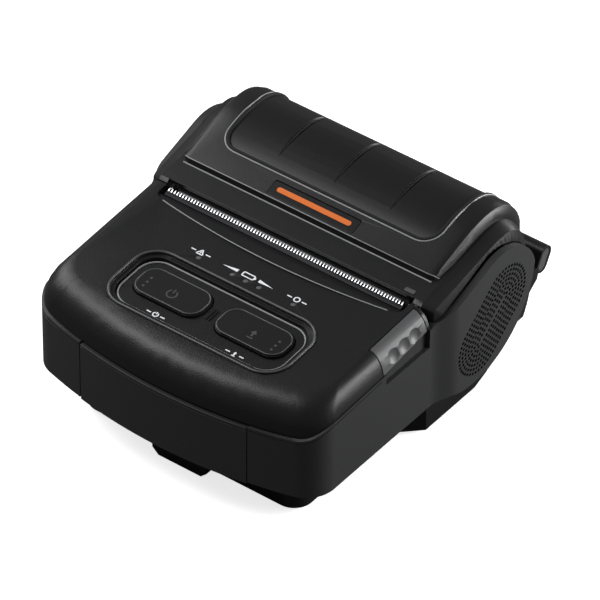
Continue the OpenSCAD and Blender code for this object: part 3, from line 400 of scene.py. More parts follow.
def soften(piece, width):
    """Welds a piece and rounds its sharp edges by that many millimetres."""
    weld = piece.modifiers.new("weld", "WELD")
    weld.merge_threshold = WELD_GAP * MM
    bevel = piece.modifiers.new("round edges", "BEVEL")
    bevel.width = width * MM
    bevel.segments = EDGE_SEGMENTS
    bevel.limit_method = "ANGLE"
    bevel.angle_limit = math.radians(SHARP_ANGLE)
    bevel.miter_outer = "MITER_ARC"
    bevel.use_clamp_overlap = True
    bevel.face_strength_mode = "FSTR_ALL"
    weighted = piece.modifiers.new("flat faces stay flat", "WEIGHTED_NORMAL")
    weighted.keep_sharp = True
    weighted.use_face_influence = True
    for polygon in piece.data.polygons:
        polygon.use_smooth = True


for name, piece in nodes.items():
    piece.data.materials.clear()
    piece.data.materials.append(finishes[OWN_FINISH.get(name, slot_of[name])])
    soften(piece, EDGE.get(name, FINE_EDGE))
print("dressed:", len(nodes), "CAD pieces")

# %% [markdown]
# ## Tools for the small pieces
#
# The printer also has things that are too fine for the CAD model: printed marks,
# raised beads, an inlay. They could be painted on with textures, but then they would
# have no edge that catches the light. Flat ones are thin prisms over an outline,
# made with bmesh, so they are closed solids. Beads are curves with a round section,
# which bend with the surface that they follow.

# %% Outlines in millimetres
def soft_rectangle(x, y, length, width, radius, steps=6):
    """Points of a rectangle with round corners about (x, y)."""
    corners = ((1, 1), (-1, 1), (-1, -1), (1, -1))
    outline = []
    for quarter, (side_x, side_y) in enumerate(corners):
        for step in range(steps + 1):
            turn = math.radians(90 * (quarter + step / steps))
            across = side_x * (length / 2 - radius) + radius * math.cos(turn)
            along = side_y * (width / 2 - radius) + radius * math.sin(turn)
            outline.append((x + across, y + along))
    return outline


def arc_band(x, y, radius, width, start, sweep, steps=16):
    """Points of a flat arc of that width; its angles are in degrees."""
    turns = [math.radians(start + sweep * step / steps) for step in range(steps + 1)]
    rings = ((radius + width / 2, turns), (radius - width / 2, turns[::-1]))
    return [(x + r * math.cos(t), y + r * math.sin(t)) for r, row in rings for t in row]


def stroke(start, end, width):
    """The four corners of a straight stroke of that width."""
    line = (Vector(end) - Vector(start)).normalized()
    side = Vector((-line.y, line.x)) * width / 2
    ends = (Vector(start) - side, Vector(end) - side, Vector(end) + side, Vector(start) + side)
    return [tuple(corner) for corner in ends]


print("points of a soft rectangle:", len(soft_rectangle(0, 0, 10, 5, 1)))

# %% Pieces that ride on a body
def place_piece(name, data, finish, body):
    """A new piece that wears a finish and rides on a body."""
    data.materials.append(finishes[finish])
    piece = bpy.data.objects.new(name, data)
    bpy.context.scene.collection.objects.link(piece)
    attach(piece, body)
    return piece


def mesh_from(builder, name):
    """Turns a finished bmesh into a mesh whose faces all look outwards."""
    bmesh.ops.recalc_face_normals(builder, faces=builder.faces)
    mesh = bpy.data.meshes.new(name)
    builder.to_mesh(mesh)
    builder.free()
    return mesh


print("finishes to choose from:", len(finishes))

# %% Solids from outlines
def join_rings(builder, low, high):
    """Closes two rings of corners into a solid with a floor, a top and sides."""
    builder.faces.new(high)
    builder.faces.new(low[::-1])
    for here in range(len(low)):
        after = (here + 1) % len(low)
        builder.faces.new((low[here], low[after], high[after], high[here]))


def prism_piece(name, outlines, bottom, top, finish, body):
    """Prisms over outlines as one piece; two functions of y give their heights."""
    builder = bmesh.new()
    for outline in outlines:
        low = [builder.verts.new(at(x, y, bottom(y))) for x, y in outline]
        high = [builder.verts.new(at(x, y, top(y))) for x, y in outline]
        join_rings(builder, low, high)
    return place_piece(name, mesh_from(builder, name), finish, body)


def raised(surface, rise):
    """The surface that lies that many millimetres above another."""
    return lambda y: surface(y) + rise


def flat(height):
    """A level surface."""
    return lambda y: height


print("ink on the panel at y 40 would lie at", round(raised(panel_height, 0.04)(40), 2), "mm")

# %% Beads along lines
def bead_curve(name, lines, radius, closed=False):
    """A curve with a round section along lines of places in millimetres."""
    curve = bpy.data.curves.new(name, "CURVE")
    curve.dimensions = "3D"
    curve.bevel_depth = radius * MM
    curve.bevel_resolution = 2
    curve.use_fill_caps = True
    for line in lines:
        spline = curve.splines.new("POLY")
        spline.points.add(len(line) - 1)
        for point, place in zip(spline.points, line):
            point.co = (*at(*place), 1)
        spline.use_cyclic_u = closed
        spline.use_smooth = True
    return curve


def add_bead(name, lines, radius, finish, body, closed=False):
    """Round beads of that radius along lines of places in millimetres."""
    return place_piece(name, bead_curve(name, lines, radius, closed), finish, body)


print("helpers for beads are ready")

# %% [markdown]
# ## Signs beside the lights and keys
#
# The real panel is pad printed in white. Each sign is a set of thin prisms that stand
# a few hundredths of a millimetre out of the surface. They are plain signs that any
# such printer could carry: a triangle for the error light, a battery between two
# wedges that point to full and empty, a ring for the status light, a switch sign and
# an arrow. Each is a small function of its place, so it can be moved or used again.

# %% Strokes and simple signs
LINE = 0.38


def rules_beside(x, y, gap, length):
    """A short rule on each side of a sign."""
    return [
        stroke((x + side * gap, y), (x + side * (gap + length), y), LINE) for side in (-1, 1)
    ]


def closed_strokes(corners):
    """Strokes along a closed line of corners."""
    return [stroke(a, b, LINE) for a, b in zip(corners, corners[1:] + corners[:1])]


def error_triangle(x, y):
    """A small triangle with a bar in it."""
    half, foot, tip = 1.1, 0.8, 1.1
    bar_foot, bar_top = 0.4, 0.35
    corners = [(x - half, y - foot), (x + half, y - foot), (x, y + tip)]
    return closed_strokes(corners) + [stroke((x, y - bar_foot), (x, y + bar_top), LINE)]


def battery_sign(x, y):
    """The outline of a battery with its terminal."""
    half, rise = 1.9, 0.75
    terminal, terminal_rise, terminal_width = 2.3, 0.35, 0.45
    corners = [(x - half, y - rise), (x + half, y - rise), (x + half, y + rise), (x - half, y + rise)]
    ends = ((x + terminal, y - terminal_rise), (x + terminal, y + terminal_rise))
    return closed_strokes(corners) + [stroke(*ends, terminal_width)]


def ring_sign(x, y):
    """A small ring, made of two half rounds."""
    radius = 0.85
    return [arc_band(x, y, radius, LINE, start, 180) for start in (0, 180)]


def level_wedges(x, y):
    """Two long wedges that point away from the battery sign."""
    near, far, rise, tip = 3.6, 8.7, 0.55, 0.35
    return [
        [(x + side * near, y - rise), (x + side * near, y + rise), (x + side * far, y - tip)]
        for side in (-1, 1)
    ]


print("sign strokes are", LINE, "mm wide")

# %% Signs that the keys share with the panel
SWITCH_START = 125
SWITCH_SWEEP = 290


def switch_sign(x, y, radius, width):
    """A broken ring with a bar in its gap."""
    ring = arc_band(x, y, radius, width, SWITCH_START, SWITCH_SWEEP)
    return [ring, stroke((x, y + 0.25 * radius), (x, y + 1.3 * radius), width)]


def feed_arrow(x, y, size, width):
    """An arrow towards the paper slot, over a short bar, in parts of its size."""
    head = [(x - 0.6 * size, y + 0.2 * size), (x + 0.6 * size, y + 0.2 * size), (x, y + size)]
    stem = stroke((x, y - 0.5 * size), (x, y + 0.2 * size), 1.4 * width)
    foot = stroke((x - 0.6 * size, y - 0.9 * size), (x + 0.6 * size, y - 0.9 * size), width)
    return [head, stem, foot]


print("switch sign is open over", 360 - SWITCH_SWEEP, "degrees")

# %% White signs on the panel
INK = 0.04
MARK_Y = 41.6
ERROR_X = -17.1
STATUS_X = 16.2
BATTERY_X = -0.5
PANEL_RULES = (1.7, 1.6)


def print_marks(name, outlines, surface, finish="white_ink", body="case"):
    """Thin closed signs on a surface whose height is a function of y."""
    return prism_piece(name, outlines, raised(surface, -INK), raised(surface, INK), finish, body)


panel_marks = (
    error_triangle(ERROR_X, MARK_Y)
    + rules_beside(ERROR_X, MARK_Y, *PANEL_RULES)
    + battery_sign(BATTERY_X, MARK_Y)
    + level_wedges(BATTERY_X, MARK_Y)
    + ring_sign(STATUS_X, MARK_Y)
    + rules_beside(STATUS_X, MARK_Y, *PANEL_RULES)
)
print_marks("panel_marks", panel_marks, panel_height)
print("strokes beside the lights:", len(panel_marks))

# %% White signs in front of the keys
LABEL_Y = 16.1
POD_DEPTH = 1.6
KEY_X = 14.1
SWITCH_LABEL_X = -KEY_X + 1.2
FEED_LABEL_X = KEY_X + 0.3
LABEL_RULES = (1.6, 1.5)


def pod_floor(y):
    """Height of the floor that the keys stand in."""
    return panel_height(y) - POD_DEPTH


pod_marks = (
    switch_sign(SWITCH_LABEL_X, LABEL_Y, 0.8, LINE)
    + rules_beside(SWITCH_LABEL_X, LABEL_Y, *LABEL_RULES)
    + feed_arrow(FEED_LABEL_X, LABEL_Y, 0.9, LINE)
    + rules_beside(FEED_LABEL_X, LABEL_Y, *LABEL_RULES)
)
print_marks("pod_marks", pod_marks, pod_floor)
print("strokes in front of the keys:", len(pod_marks))

# %% [markdown]
# ## Signs and feeling dots on the keys
#
# The signs on the two keys are moulded in the key's own plastic, so they show only
# by their polish; their lighter grey is a painted sheen. Three dots at the outer end of
# each key can be felt with a thumb. They are the same thin prisms as the white signs, in
# the painted sheen finish, and they ride on the keys, so they go down with them. Between
# the keys two low ridges part them.

# %% Raised signs on the keys
KEY_TOP = 0.55
SIGN_Y = 24.2
SIGN_LINE = 0.42
SWITCH_SIGN_X = -KEY_X + 0.5
ARROW_SIGN_X = KEY_X + 0.3
DOT_X = 22.2
DOT_PITCH = 1.85
DOT_WIDTH = 0.8


def key_face(y):
    """Height of the top of a key."""
    return panel_height(y) - KEY_TOP


def feeling_dots(x, y):
    """Three round dots in a row from front to rear."""
    rows = [y + k * DOT_PITCH for k in (-1, 0, 1)]
    return [soft_rectangle(x, row, DOT_WIDTH, DOT_WIDTH, DOT_WIDTH / 2, steps=3) for row in rows]


key_signs = {
    "power_key": switch_sign(SWITCH_SIGN_X, SIGN_Y, 1.5, SIGN_LINE) + feeling_dots(-DOT_X, SIGN_Y),
    "feed_key": feed_arrow(ARROW_SIGN_X, SIGN_Y, 1.7, SIGN_LINE) + feeling_dots(DOT_X, SIGN_Y),
}
# The signs and dots wear a lighter grey that is a painted sheen.
for body, outlines in key_signs.items():
    print_marks(body + "_sign", outlines, key_face, "painted_sheen", body)
print("signs on", ", ".join(key_signs))

# %% Ridges between the keys
RIDGE_X = 0.5
RIDGE_FRONT = 22.4
RIDGE_REAR = 27.2
RIDGE_WIDTH = 0.35
RIDGE_RISE = 0.2

ridges = [stroke((x, RIDGE_FRONT), (x, RIDGE_REAR), RIDGE_WIDTH) for x in (-RIDGE_X, RIDGE_X)]
ridge_face = raised(pod_floor, RIDGE_RISE)
print_marks("key_ridges", ridges, ridge_face, "dark_plastic", "case")
print("ridges between the keys:", len(ridges))

# %% [markdown]
# ## The lid's curve
#
# Seen from the side, the lid is a straight brow that runs into a wide arc, and then
# a tighter round over the back. The badge and the beads all lie on this line, so it
# is worked out once: the brow is the tangent from its foot to the wide arc.

# %% Height of the lid
BROW_FOOT = (67.5, 52.6)
BROW_R = 34.0
ROUND_Y = 92.8
ROUND_Z = 43.3
ROUND_R = 16.0

ahead_y = ROUND_Y - BROW_FOOT[0]
ahead_z = ROUND_Z + ROUND_R - BROW_R - BROW_FOOT[1]
to_centre = math.hypot(ahead_y, ahead_z)
brow_slope = math.atan2(ahead_z, ahead_y) + math.asin(BROW_R / to_centre)
BROW_END = BROW_FOOT[0] + math.sqrt(to_centre**2 - BROW_R**2) * math.cos(brow_slope)


def cover_height(y):
    """Height of the lid: a straight brow, then a wide arc that rises to the rear."""
    if y < BROW_END:
        return BROW_FOOT[1] + (y - BROW_FOOT[0]) * math.tan(brow_slope)
    return ROUND_Z + ROUND_R - BROW_R + math.sqrt(BROW_R**2 - (y - ROUND_Y) ** 2)


print("brow slopes", round(math.degrees(brow_slope), 1), "degrees up to", round(BROW_END, 1), "mm")

# %% [markdown]
# ## The badge and its inlay
#
# In front of the smooth window the cover has a shallow place for a badge. The badge
# stays bare: a plain plate, flush with the brow, with one orange line let into it.
# Both are prisms whose tops follow the slope of the brow, and the plate stands for
# the CAD one, which lies deeper.

# %% The badge plate
BADGE_Y = 70.5
BADGE_FLOOR = 51.75
BADGE_SIZE = (29.7, 4.35, 0.6)
BADGE_RISE = 0.06
INLAY_SIZE = (25.5, 1.5, 0.7)
INLAY_RISE = 0.14

plate = soft_rectangle(0, BADGE_Y, *BADGE_SIZE)
plate_foot = flat(BADGE_FLOOR)
plate_face = raised(cover_height, BADGE_RISE)
badge = prism_piece(
    "badge_plate", [plate], plate_foot, plate_face, "dark_plastic", "cover"
)
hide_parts("cover_badge")
soften(badge, FINE_EDGE)
inlay = soft_rectangle(0, BADGE_Y, *INLAY_SIZE)
inlay_face = raised(cover_height, INLAY_RISE)
prism_piece("badge_inlay", [inlay], cover_height, inlay_face, "orange_inlay", "cover")
print("badge plate:", BADGE_SIZE[0], "x", BADGE_SIZE[1], "mm")

# %% [markdown]
# ## The ground teeth
#
# The tear bar is blackened steel. Only its teeth are ground bright, so each tooth
# gets a thin bright facet that lies on the leaning strip, one beside the other. A
# second material on the CAD piece would need its faces picked out one by one.

# %% A bright facet on every tooth
STRIP_Y = 55.6
STRIP_Z = 47.37
STRIP_LEAN = math.radians(28)
TOOTH_PITCH = 1.0
TEETH = 82
TOOTH_FOOT = 1.3
TOOTH_TIP = 2.35
FOOT_HALF = 0.22
TIP_HALF = 0.05
FACET_RISE = 0.04


def strip_height(y):
    """Height of the leaning strip's upper face."""
    return STRIP_Z + (y - STRIP_Y) * math.tan(STRIP_LEAN)


def tooth_facet(x):
    """A facet that narrows from the tooth's foot to its tip."""
    foot_y = STRIP_Y + TOOTH_FOOT * math.cos(STRIP_LEAN)
    tip_y = STRIP_Y + TOOTH_TIP * math.cos(STRIP_LEAN)
    feet = [(x - FOOT_HALF, foot_y), (x + FOOT_HALF, foot_y)]
    return feet + [(x + TIP_HALF, tip_y), (x - TIP_HALF, tip_y)]


facets = [tooth_facet((k + 0.5 - TEETH / 2) * TOOTH_PITCH) for k in range(TEETH)]
facet_face = raised(strip_height, FACET_RISE)
prism_piece("tooth_facets", facets, strip_height, facet_face, "steel", "case")
print("ground teeth:", TEETH)

# %% [markdown]
# ## The window in the lid
#
# A smooth window is let into the lid. A light grey bead on its rim is a painted
# highlight, and a dark rubber band just inside is painted shade where the step falls
# away. Three creases run over the window, and dark rubber beads in their bottoms are
# painted shade. All are beads that follow the lid's curve: a bevel would be as wide as
# the solid's edge allows, while a bead has its own width and finish.

# %% The rim of the window
WINDOW_X = 37.45
WINDOW_Y = 74.7
WINDOW_LOW = 47.3
WINDOW_CORNER = 6.0
CORNER_STEPS = 8
RIM_R = 0.24
SHADE_BAND_R = 0.58
SHADE_BAND_INSET = 0.75
RIM_LIFT = 0.02
SHADE_BAND_LIFT = -0.2
FLANK_ROWS = range(82, 92, 2)


def round_back(x, drop, turns):
    """Places on the lid's round back, that far under its surface."""
    radius = ROUND_R - drop
    return [(x, ROUND_Y + radius * math.cos(t), ROUND_Z + radius * math.sin(t)) for t in turns]


def window_rim(inset, lift, radius):
    """A closed line round the window, over the lid and down its round back.

    The bead never stands higher than the lid's highest point.
    """
    edge_x = WINDOW_X - inset
    edge_y = WINDOW_Y + inset
    corner_r = WINDOW_CORNER - inset
    rows = []
    for step in range(CORNER_STEPS + 1):
        turn = math.radians(90 * step / CORNER_STEPS)
        y = edge_y + corner_r * (1 - math.cos(turn))
        rows.append((edge_x - corner_r * (1 - math.sin(turn)), y, cover_height(y) + lift))
    rows += [(edge_x, y, cover_height(y) + lift) for y in FLANK_ROWS]
    upright = math.radians(90)
    low = math.asin((WINDOW_LOW + inset - ROUND_Z) / ROUND_R)
    last = CORNER_STEPS + 1
    turns = [upright + (low - upright) * step / last for step in range(last + 1)]
    rows += round_back(edge_x, -lift, turns)
    ceiling = ROUND_Z + ROUND_R - radius
    rows = [(x, y, min(z, ceiling)) for x, y, z in rows]
    return rows + [(-x, y, z) for x, y, z in reversed(rows)]


window_line = window_rim(0, RIM_LIFT, RIM_R)
shade_band_line = window_rim(SHADE_BAND_INSET, SHADE_BAND_LIFT, SHADE_BAND_R)
# The light rim bead is a painted highlight; the dark band inside it is painted shade.
add_bead("window_bead", [window_line], RIM_R, "painted_highlight", "cover", closed=True)
add_bead("window_shade_band", [shade_band_line], SHADE_BAND_R, "rubber", "cover", closed=True)
print("window rim:", len(window_line), "places")

# %% Painted shade in the bottoms of the creases
CREASE_X = 19.4
CREASE_DEPTH = 0.62
CREASE_R = 0.28
CREASE_STEPS = 8
BACK_STEP = 9


def lid_line(x, drop, rows, back_steps):
    """A line from front to rear over the lid and its round back, under its surface."""
    turns = [math.radians(90 - BACK_STEP * step) for step in range(back_steps)]
    return [(x, y, cover_height(y) - drop) for y in rows] + round_back(x, drop, turns)


places = (-CREASE_X, 0, CREASE_X)
creases = [lid_line(x, CREASE_DEPTH, FLANK_ROWS, CREASE_STEPS) for x in places]
# Dark rubber beads in the crease bottoms are painted shade.
add_bead("crease_shade_lines", creases, CREASE_R, "rubber", "cover")
print("creases:", len(creases))

# %% [markdown]
# ## The edges of the cover
#
# Between the lid and the lip there is a step with two edges, and the lid's sides and
# the lip's front edge are rounded too. They are the same beads again, each with its own
# radius, in lighter finishes: a painted highlight on the step, a dimmer painted sheen
# on the lid's sides and the lip.

# %% The step, the lid's sides and the lip
BODY_X = 41.4
STEP_BEND = ((0, 0, 0), (2, 0.7, -0.5), (2.9, 2.4, -2.2))
UPPER_STEP = (67.5, 52.55)
UPPER_STEP_R = 0.15
LOWER_STEP = (66.85, 50.8)
LOWER_STEP_X = 43
LOWER_STEP_R = 0.24
LID_EDGE_X = 43.5
LID_EDGE_DROP = 0.75
LID_EDGE_R = 0.14
LID_ROWS = range(70, 92, 3)
LID_STEPS = 10
LIP_Y = 60.2
LIP_Z = 49.25
LIP_R = 0.12
SLOT_END_X = 42.0


def step_edge(y, z):
    """A line across the lid that bends back round its two front corners."""
    ends = [(BODY_X + dx, y + dy, z + dz) for dx, dy, dz in STEP_BEND]
    return [(-end_x, end_y, end_z) for end_x, end_y, end_z in reversed(ends)] + ends


def cross_line(x, y, z):
    """A straight line across the printer between -x and x."""
    return [(-x, y, z), (x, y, z)]


upper_step = step_edge(*UPPER_STEP)
lower_step = cross_line(LOWER_STEP_X, *LOWER_STEP)
lip_edge = cross_line(SLOT_END_X, LIP_Y, LIP_Z)
# Lighter beads: painted highlights on the step, painted sheen on the lid's sides and lip.
add_bead("upper_step_bead", [upper_step], UPPER_STEP_R, "painted_highlight", "cover")
add_bead("lower_step_bead", [lower_step], LOWER_STEP_R, "painted_highlight", "cover")
for side, name in ((-1, "left"), (1, "right")):
    row = lid_line(side * LID_EDGE_X, LID_EDGE_DROP, LID_ROWS, LID_STEPS)
    add_bead(name + "_lid_bead", [row], LID_EDGE_R, "painted_sheen", "cover")
add_bead("lip_bead", [lip_edge], LIP_R, "painted_sheen", "cover")
print("lower step bead:", 2 * LOWER_STEP_X, "mm long")

# %% [markdown]
# ## The crescent in front of the paper slot
#
# A shallow crescent lies in the panel before the slot. Its edge is one long arc. It
# could be drawn point by point, but three numbers give it exactly: its half length,
# where its middle lies, and where its ends lie.

# %% The crescent's edge
CRESCENT_X = 40.0
CRESCENT_Y = 49.0
SLOT_EDGE_Y = 52.6
CRESCENT_RISE = 0.45
CRESCENT_PLACES = range(-39, 40, 3)
CRESCENT_R = 0.17


def crescent_edge():
    """The shallow bow in front of the paper slot."""
    sag = SLOT_EDGE_Y - CRESCENT_Y
    bow = (CRESCENT_X**2 + sag**2) / 2 / sag
    line = []
    for x in CRESCENT_PLACES:
        y = CRESCENT_Y + bow - math.sqrt(bow**2 - x * x)
        fall = CRESCENT_RISE * (SLOT_EDGE_Y - y) / sag
        line.append((x, y, panel_height(y) + fall))
    return line


# The light bead on the crescent's edge is a painted highlight.
add_bead("crescent_bead", [crescent_edge()], CRESCENT_R, "painted_highlight", "case")
print("crescent edge is", CRESCENT_RISE, "mm high in its middle")

# %% [markdown]
# ## Rims round the keys
#
# The two keys stand in a pod with a double rim, and each key has a rounded edge of its
# own. All of them are closed beads over soft rectangles on the sloping panel, in lighter
# finishes that paint the highlights and sheen of these edges. The key edges ride on the keys.

# %% The pod's rims
POD_Y = 24.3
POD_RIM = (61.0, 24.0, 8.0)
POD_RIM_LIFT = 0.2
POD_RIM_R = 0.36
POD_LEDGE = (56.4, 19.4, 6.3)
POD_LEDGE_LIFT = -POD_DEPTH + 0.1
POD_LEDGE_R = 0.26


def rim_line(length, width, radius, y, lift):
    """A closed rim on the sloping panel."""
    outline = soft_rectangle(0, y, length, width, radius, steps=10)
    return [(rim_x, rim_y, panel_height(rim_y) + lift) for rim_x, rim_y in outline]


outer_rim = rim_line(*POD_RIM, POD_Y, POD_RIM_LIFT)
ledge = rim_line(*POD_LEDGE, POD_Y, POD_LEDGE_LIFT)
# The pod's rim beads are lighter: painted sheen and a painted highlight.
add_bead("pod_rim_bead", [outer_rim], POD_RIM_R, "painted_sheen", "case", closed=True)
add_bead("pod_ledge_bead", [ledge], POD_LEDGE_R, "painted_highlight", "case", closed=True)
print("pod rim:", POD_RIM[0], "x", POD_RIM[1], "mm")

# %% The edges of the keys
KEY_Y = 25.3
KEY_RIM = (22.3, 10.3, 4.1)
KEY_RIM_SINK = 0.08
KEY_RIM_R = 0.2

# The key edge beads are lighter: a painted sheen on each key's edge.
for side, body in ((-1, "power_key"), (1, "feed_key")):
    rim = rim_line(*KEY_RIM, KEY_Y, -KEY_TOP - KEY_RIM_SINK)
    moved = [(x + side * KEY_X, y, z) for x, y, z in rim]
    add_bead(body + "_edge", [moved], KEY_RIM_R, "painted_sheen", body, closed=True)

# %% [markdown]
# ## Ends of the strap bar and the shoe on the lip
#
# The strap bar is an oval tube that leans back. A cap in a lighter grey, a painted
# sheen, closes each end of it, set in by a fraction of a millimetre. Near the right end
# of the cover's lip there is a small grey shoe. Both are solids between two rings of corners.

# %% Caps in the strap bar
STRAP = (116.1, 28.6)
STRAP_LEAN = math.radians(62)
STRAP_END_X = 46.5
CAP_SIZE = (6.7, 3.3, 1.64)
CAP_DEPTHS = (1.1, 0.15)


def oval_cap(builder, side):
    """An oval plate that closes one hollow end of the strap bar."""
    long_way = Vector((math.cos(STRAP_LEAN), math.sin(STRAP_LEAN)))
    wide_way = Vector((-long_way.y, long_way.x))
    rings = []
    for depth in CAP_DEPTHS:
        ring = []
        for u, v in soft_rectangle(0, 0, *CAP_SIZE, steps=8):
            spot = Vector(STRAP) + long_way * u + wide_way * v
            ring.append(builder.verts.new(at(side * (STRAP_END_X - depth), spot.x, spot.y)))
        rings.append(ring)
    join_rings(builder, *rings)


builder = bmesh.new()
for side in (-1, 1):
    oval_cap(builder, side)
cap_mesh = mesh_from(builder, "strap_end_caps")
# The caps' lighter grey is a painted sheen on the bar's ends.
place_piece("strap_end_caps", cap_mesh, "painted_sheen", "case")
print("strap bar leans", round(math.degrees(STRAP_LEAN)), "degrees")

# %% The shoe on the lip
SHOE_PLACE = (39.9, 61.4)
SHOE_SIZE = (3.2, 1.5, 0.25)
SHOE_SINK = 0.3
SHOE_RISE = 0.6

shoe = soft_rectangle(*SHOE_PLACE, *SHOE_SIZE, steps=2)
shoe_foot = flat(LIP_Z - SHOE_SINK)
shoe_face = flat(LIP_Z + SHOE_RISE)
prism_piece("lip_shoe", [shoe], shoe_foot, shoe_face, "lever_plastic", "cover")
print("lip shoe:", SHOE_SIZE[0], "x", SHOE_SIZE[1], "mm")

# %% [markdown]
# ## The dot fields on the ears
#
# Each round ear carries rings of small dimples round a slanting line, like the grip
# of a thumb pad. A bump texture would leave the mesh smooth. Here one cutter mesh
# holds the cups of both ears, and a Boolean modifier takes them out of the case, so
# the dimples are real in the mesh. The cups' walls take the cutter's dark rubber
# finish, which paints shade into the dimples.

# %% Rings of places
FIELD_LOW = Vector((78.3, 26.0))
FIELD_HIGH = Vector((89.3, 35.6))
FIELD_RINGS = 7
RING_PITCH = 1.4
FIELD_R = 9.6
DOT_GAP = 1.45


def place_on_loop(run, radius):
    """The place at a distance along a loop of two straights and two half rounds."""
    axis = FIELD_HIGH - FIELD_LOW
    ahead = axis.normalized()
    aside = Vector((-ahead.y, ahead.x))
    if run < axis.length:
        return FIELD_LOW + ahead * run - aside * radius
    run -= axis.length
    if run < math.pi * radius:
        turn = run / radius
        return FIELD_HIGH + ahead * radius * math.sin(turn) - aside * radius * math.cos(turn)
    run -= math.pi * radius
    if run < axis.length:
        return FIELD_HIGH - ahead * run + aside * radius
    turn = (run - axis.length) / radius
    return FIELD_LOW - ahead * radius * math.sin(turn) + aside * radius * math.cos(turn)


def ring_of_dots(radius):
    """Places at even distances along a loop round the slanting line."""
    loop = 2 * (FIELD_HIGH - FIELD_LOW).length + 2 * math.pi * radius
    count = round(loop / DOT_GAP)
    return [place_on_loop(loop * k / count, radius) for k in range(count)]


dots = [spot for k in range(FIELD_RINGS) for spot in ring_of_dots(FIELD_R - k * RING_PITCH)]
print("dimples on each ear:", len(dots))

# %% The cutter with all cups
CASE_X = 49.5
EAR_X = 52.0
FLARE = (58.5, 68.5)
CUP_SIDES = 8
CUP_MOUTH = 0.57
CUP_FLOOR = 0.5
CUP_DEPTH = 0.8
CUP_PROUD = 0.3


def ear_face(y):
    """How far the side of the case stands out, flaring from the skirt to the ear."""
    share = min(1.0, max(0.0, (y - FLARE[0]) / (FLARE[1] - FLARE[0])))
    return CASE_X + (EAR_X - CASE_X) * (1 - math.cos(math.pi * share)) / 2


def cup_ring(builder, x, y, z, radius):
    """A ring of corners round a place on the side of the case."""
    turns = [math.radians(360 / CUP_SIDES * step) for step in range(CUP_SIDES)]
    places = [at(x, y + radius * math.cos(t), z + radius * math.sin(t)) for t in turns]
    return [builder.verts.new(place) for place in places]


def add_cup(builder, side, y, z):
    """One tapered cup that reaches out of the surface and into it."""
    face = ear_face(y)
    mouth = cup_ring(builder, side * (face + CUP_PROUD), y, z, CUP_MOUTH)
    floor_ring = cup_ring(builder, side * (face - CUP_DEPTH), y, z, CUP_FLOOR)
    join_rings(builder, floor_ring, mouth)


builder = bmesh.new()
for side in (-1, 1):
    for spot in dots:
        add_cup(builder, side, spot.x, spot.y)
cup_mesh = mesh_from(builder, "dimple_cutter")
# The cutter's dark rubber finish goes onto the cups' walls: painted shade in the dimples.
cup_mesh.materials.append(finishes["rubber"])
cutter = bpy.data.objects.new("dimple_cutter", cup_mesh)
print("corners in the cutter:", len(cup_mesh.vertices))

# %% Taking the cups out of the case
cut = nodes["lower_case"].modifiers.new("dimples", "BOOLEAN")
cut.operation = "DIFFERENCE"
cut.solver = "MANIFOLD"
cut.material_mode = "TRANSFER"
cut.object = cutter
flatten = nodes["lower_case"].modifiers.new("flat round the dimples", "WEIGHTED_NORMAL")
flatten.keep_sharp = True
print("modifiers on the lower case:", len(nodes["lower_case"].modifiers))

# %% [markdown]
# ## The lever's spring
#
# A small coil spring under a ledge of the case pushes the release lever down again.
# The solids hold a plain rod in its place. Here it is one wire wound as a helix. A
# Screw modifier could wind it too, but a curve along a computed helix gives a round
# wire at once.

# %% Coil under the ledge
SPRING_X = 46.15
SPRING_Y = 54.6
SPRING_LOW = 34
SPRING_HIGH = 40.6
WIRE_R = 0.14
COIL_R = 0.76
COIL_TURNS = 6
TURN_STEPS = 20

low = SPRING_LOW + WIRE_R
rise = SPRING_HIGH - SPRING_LOW - 2 * WIRE_R
coil = []
for step in range(COIL_TURNS * TURN_STEPS + 1):
    turn = math.tau * step / TURN_STEPS
    share = step / (COIL_TURNS * TURN_STEPS)
    across = SPRING_X + COIL_R * math.cos(turn)
    along = SPRING_Y + COIL_R * math.sin(turn)
    coil.append((across, along, low + rise * share))
wire = bpy.data.objects.new("lever_wire", bead_curve("lever_wire", [coil], WIRE_R))
coil_mesh = bpy.data.meshes.new_from_object(wire)
bpy.data.objects.remove(wire)
spring = place_piece("lever_coil", coil_mesh, "steel", "case")
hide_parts("lever_spring")
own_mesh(spring)
print("lever coil:", COIL_TURNS, "turns")

# %% [markdown]
# ## The studio
#
# The printer stands on a plain pale floor, as in a catalogue picture. A floor lit
# only by the lamps would either be grey or throw too much light up at the printer.
# So it glows for the camera alone and stays dim for all other light.

# %% The floor
FLOOR_HALF = 6.0
DIM_FLOOR = (0.12, 0.12, 0.12, 1)
PALE_FLOOR = (0.8, 0.8, 0.8, 1)
FLOOR_GLOW = 0.75


def floor_finish():
    """A pale matt surface that glows a little, but only for the camera."""
    paper = bpy.data.materials.new("pale_floor")
    paper.use_nodes = True
    tree = paper.node_tree
    shader = tree.nodes["Principled BSDF"]
    shader.inputs["Roughness"].default_value = 0.9
    shader.inputs["Specular IOR Level"].default_value = 0.0
    shader.inputs["Emission Color"].default_value = (1, 1, 1, 1)
    path = add_node(tree, "ShaderNodeLightPath")
    tone = add_node(tree, "ShaderNodeMix", {"A": DIM_FLOOR, "B": PALE_FLOOR}, data_type="RGBA")
    join(tree, path.outputs["Is Camera Ray"], tone.inputs["Factor"])
    join(tree, tone.outputs["Result"], shader.inputs["Base Color"])
    glow = add_node(tree, "ShaderNodeMath", {1: FLOOR_GLOW}, operation="MULTIPLY")
    join(tree, path.outputs["Is Camera Ray"], glow.inputs[0])
    join(tree, glow.outputs[0], shader.inputs["Emission Strength"])
    return paper


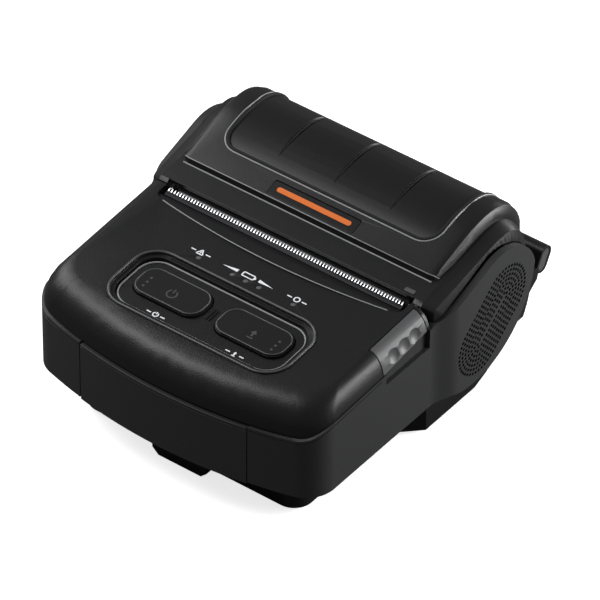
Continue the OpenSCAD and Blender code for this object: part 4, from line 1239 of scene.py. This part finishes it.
def build_floor():
    """A plain pale floor under the printer."""
    size = FLOOR_HALF
    mesh = bpy.data.meshes.new("floor")
    corners = [(-size, -size, 0), (size, -size, 0), (size, size, 0), (-size, size, 0)]
    mesh.from_pydata(corners, [], [(0, 1, 2, 3)])
    mesh.materials.append(floor_finish())
    made = bpy.data.objects.new("floor", mesh)
    bpy.context.scene.collection.objects.link(made)


build_floor()
print("floor is", 2 * FLOOR_HALF, "m wide")

# %% [markdown]
# ## Soft light
#
# Black plastic shows its shape only by what it mirrors. Broad soft lamps above, on
# both sides and behind the printer lay long highlights along its rounded shoulders,
# and a small one near the ear lights the grey side. A dim room fills the rest.

# %% Lamps and room light
ROOM_LIGHT = 0.22
# Each lamp: its place, its aim, its width and height in metres, its power in watts.
LAMPS = {
    "top_lamp": ((-0.52, -0.4, 0.95), (0, 0, 0.03), 0.4, 0.4, 5),
    "right_lamp": ((1.1, 0.8, 0.5), (0, 0, 0.03), 0.8, 0.6, 9),
    "side_lamp": ((0.26, 0.24, 0.08), (0.05, 0.03, 0.03), 0.15, 0.12, 0.9),
    "back_lamp": ((0.3, 1.4, 0.2), (0, 0, 0.05), 0.9, 0.3, 6),
    "left_lamp": ((-0.42, 0.0, 0.34), (0, 0, 0.04), 0.3, 0.3, 1.4),
}


def add_lamp(name, place, aim, width, height, power):
    """A rectangular soft lamp at that place, turned to its aim."""
    data = bpy.data.lights.new(name, "AREA")
    data.shape = "RECTANGLE"
    data.size = width
    data.size_y = height
    data.energy = power
    lamp = bpy.data.objects.new(name, data)
    lamp.location = place
    lamp.rotation_euler = (Vector(aim) - Vector(place)).to_track_quat("-Z", "Y").to_euler()
    bpy.context.scene.collection.objects.link(lamp)


for name, values in LAMPS.items():
    add_lamp(name, *values)
world = bpy.data.worlds.new("soft_room")
world.use_nodes = True
world.node_tree.nodes["Background"].inputs["Color"].default_value = (1, 1, 1, 1)
world.node_tree.nodes["Background"].inputs["Strength"].default_value = ROOM_LIGHT
bpy.context.scene.world = world
bpy.context.scene.view_settings.view_transform = "Standard"
print("lamps:", len(LAMPS))
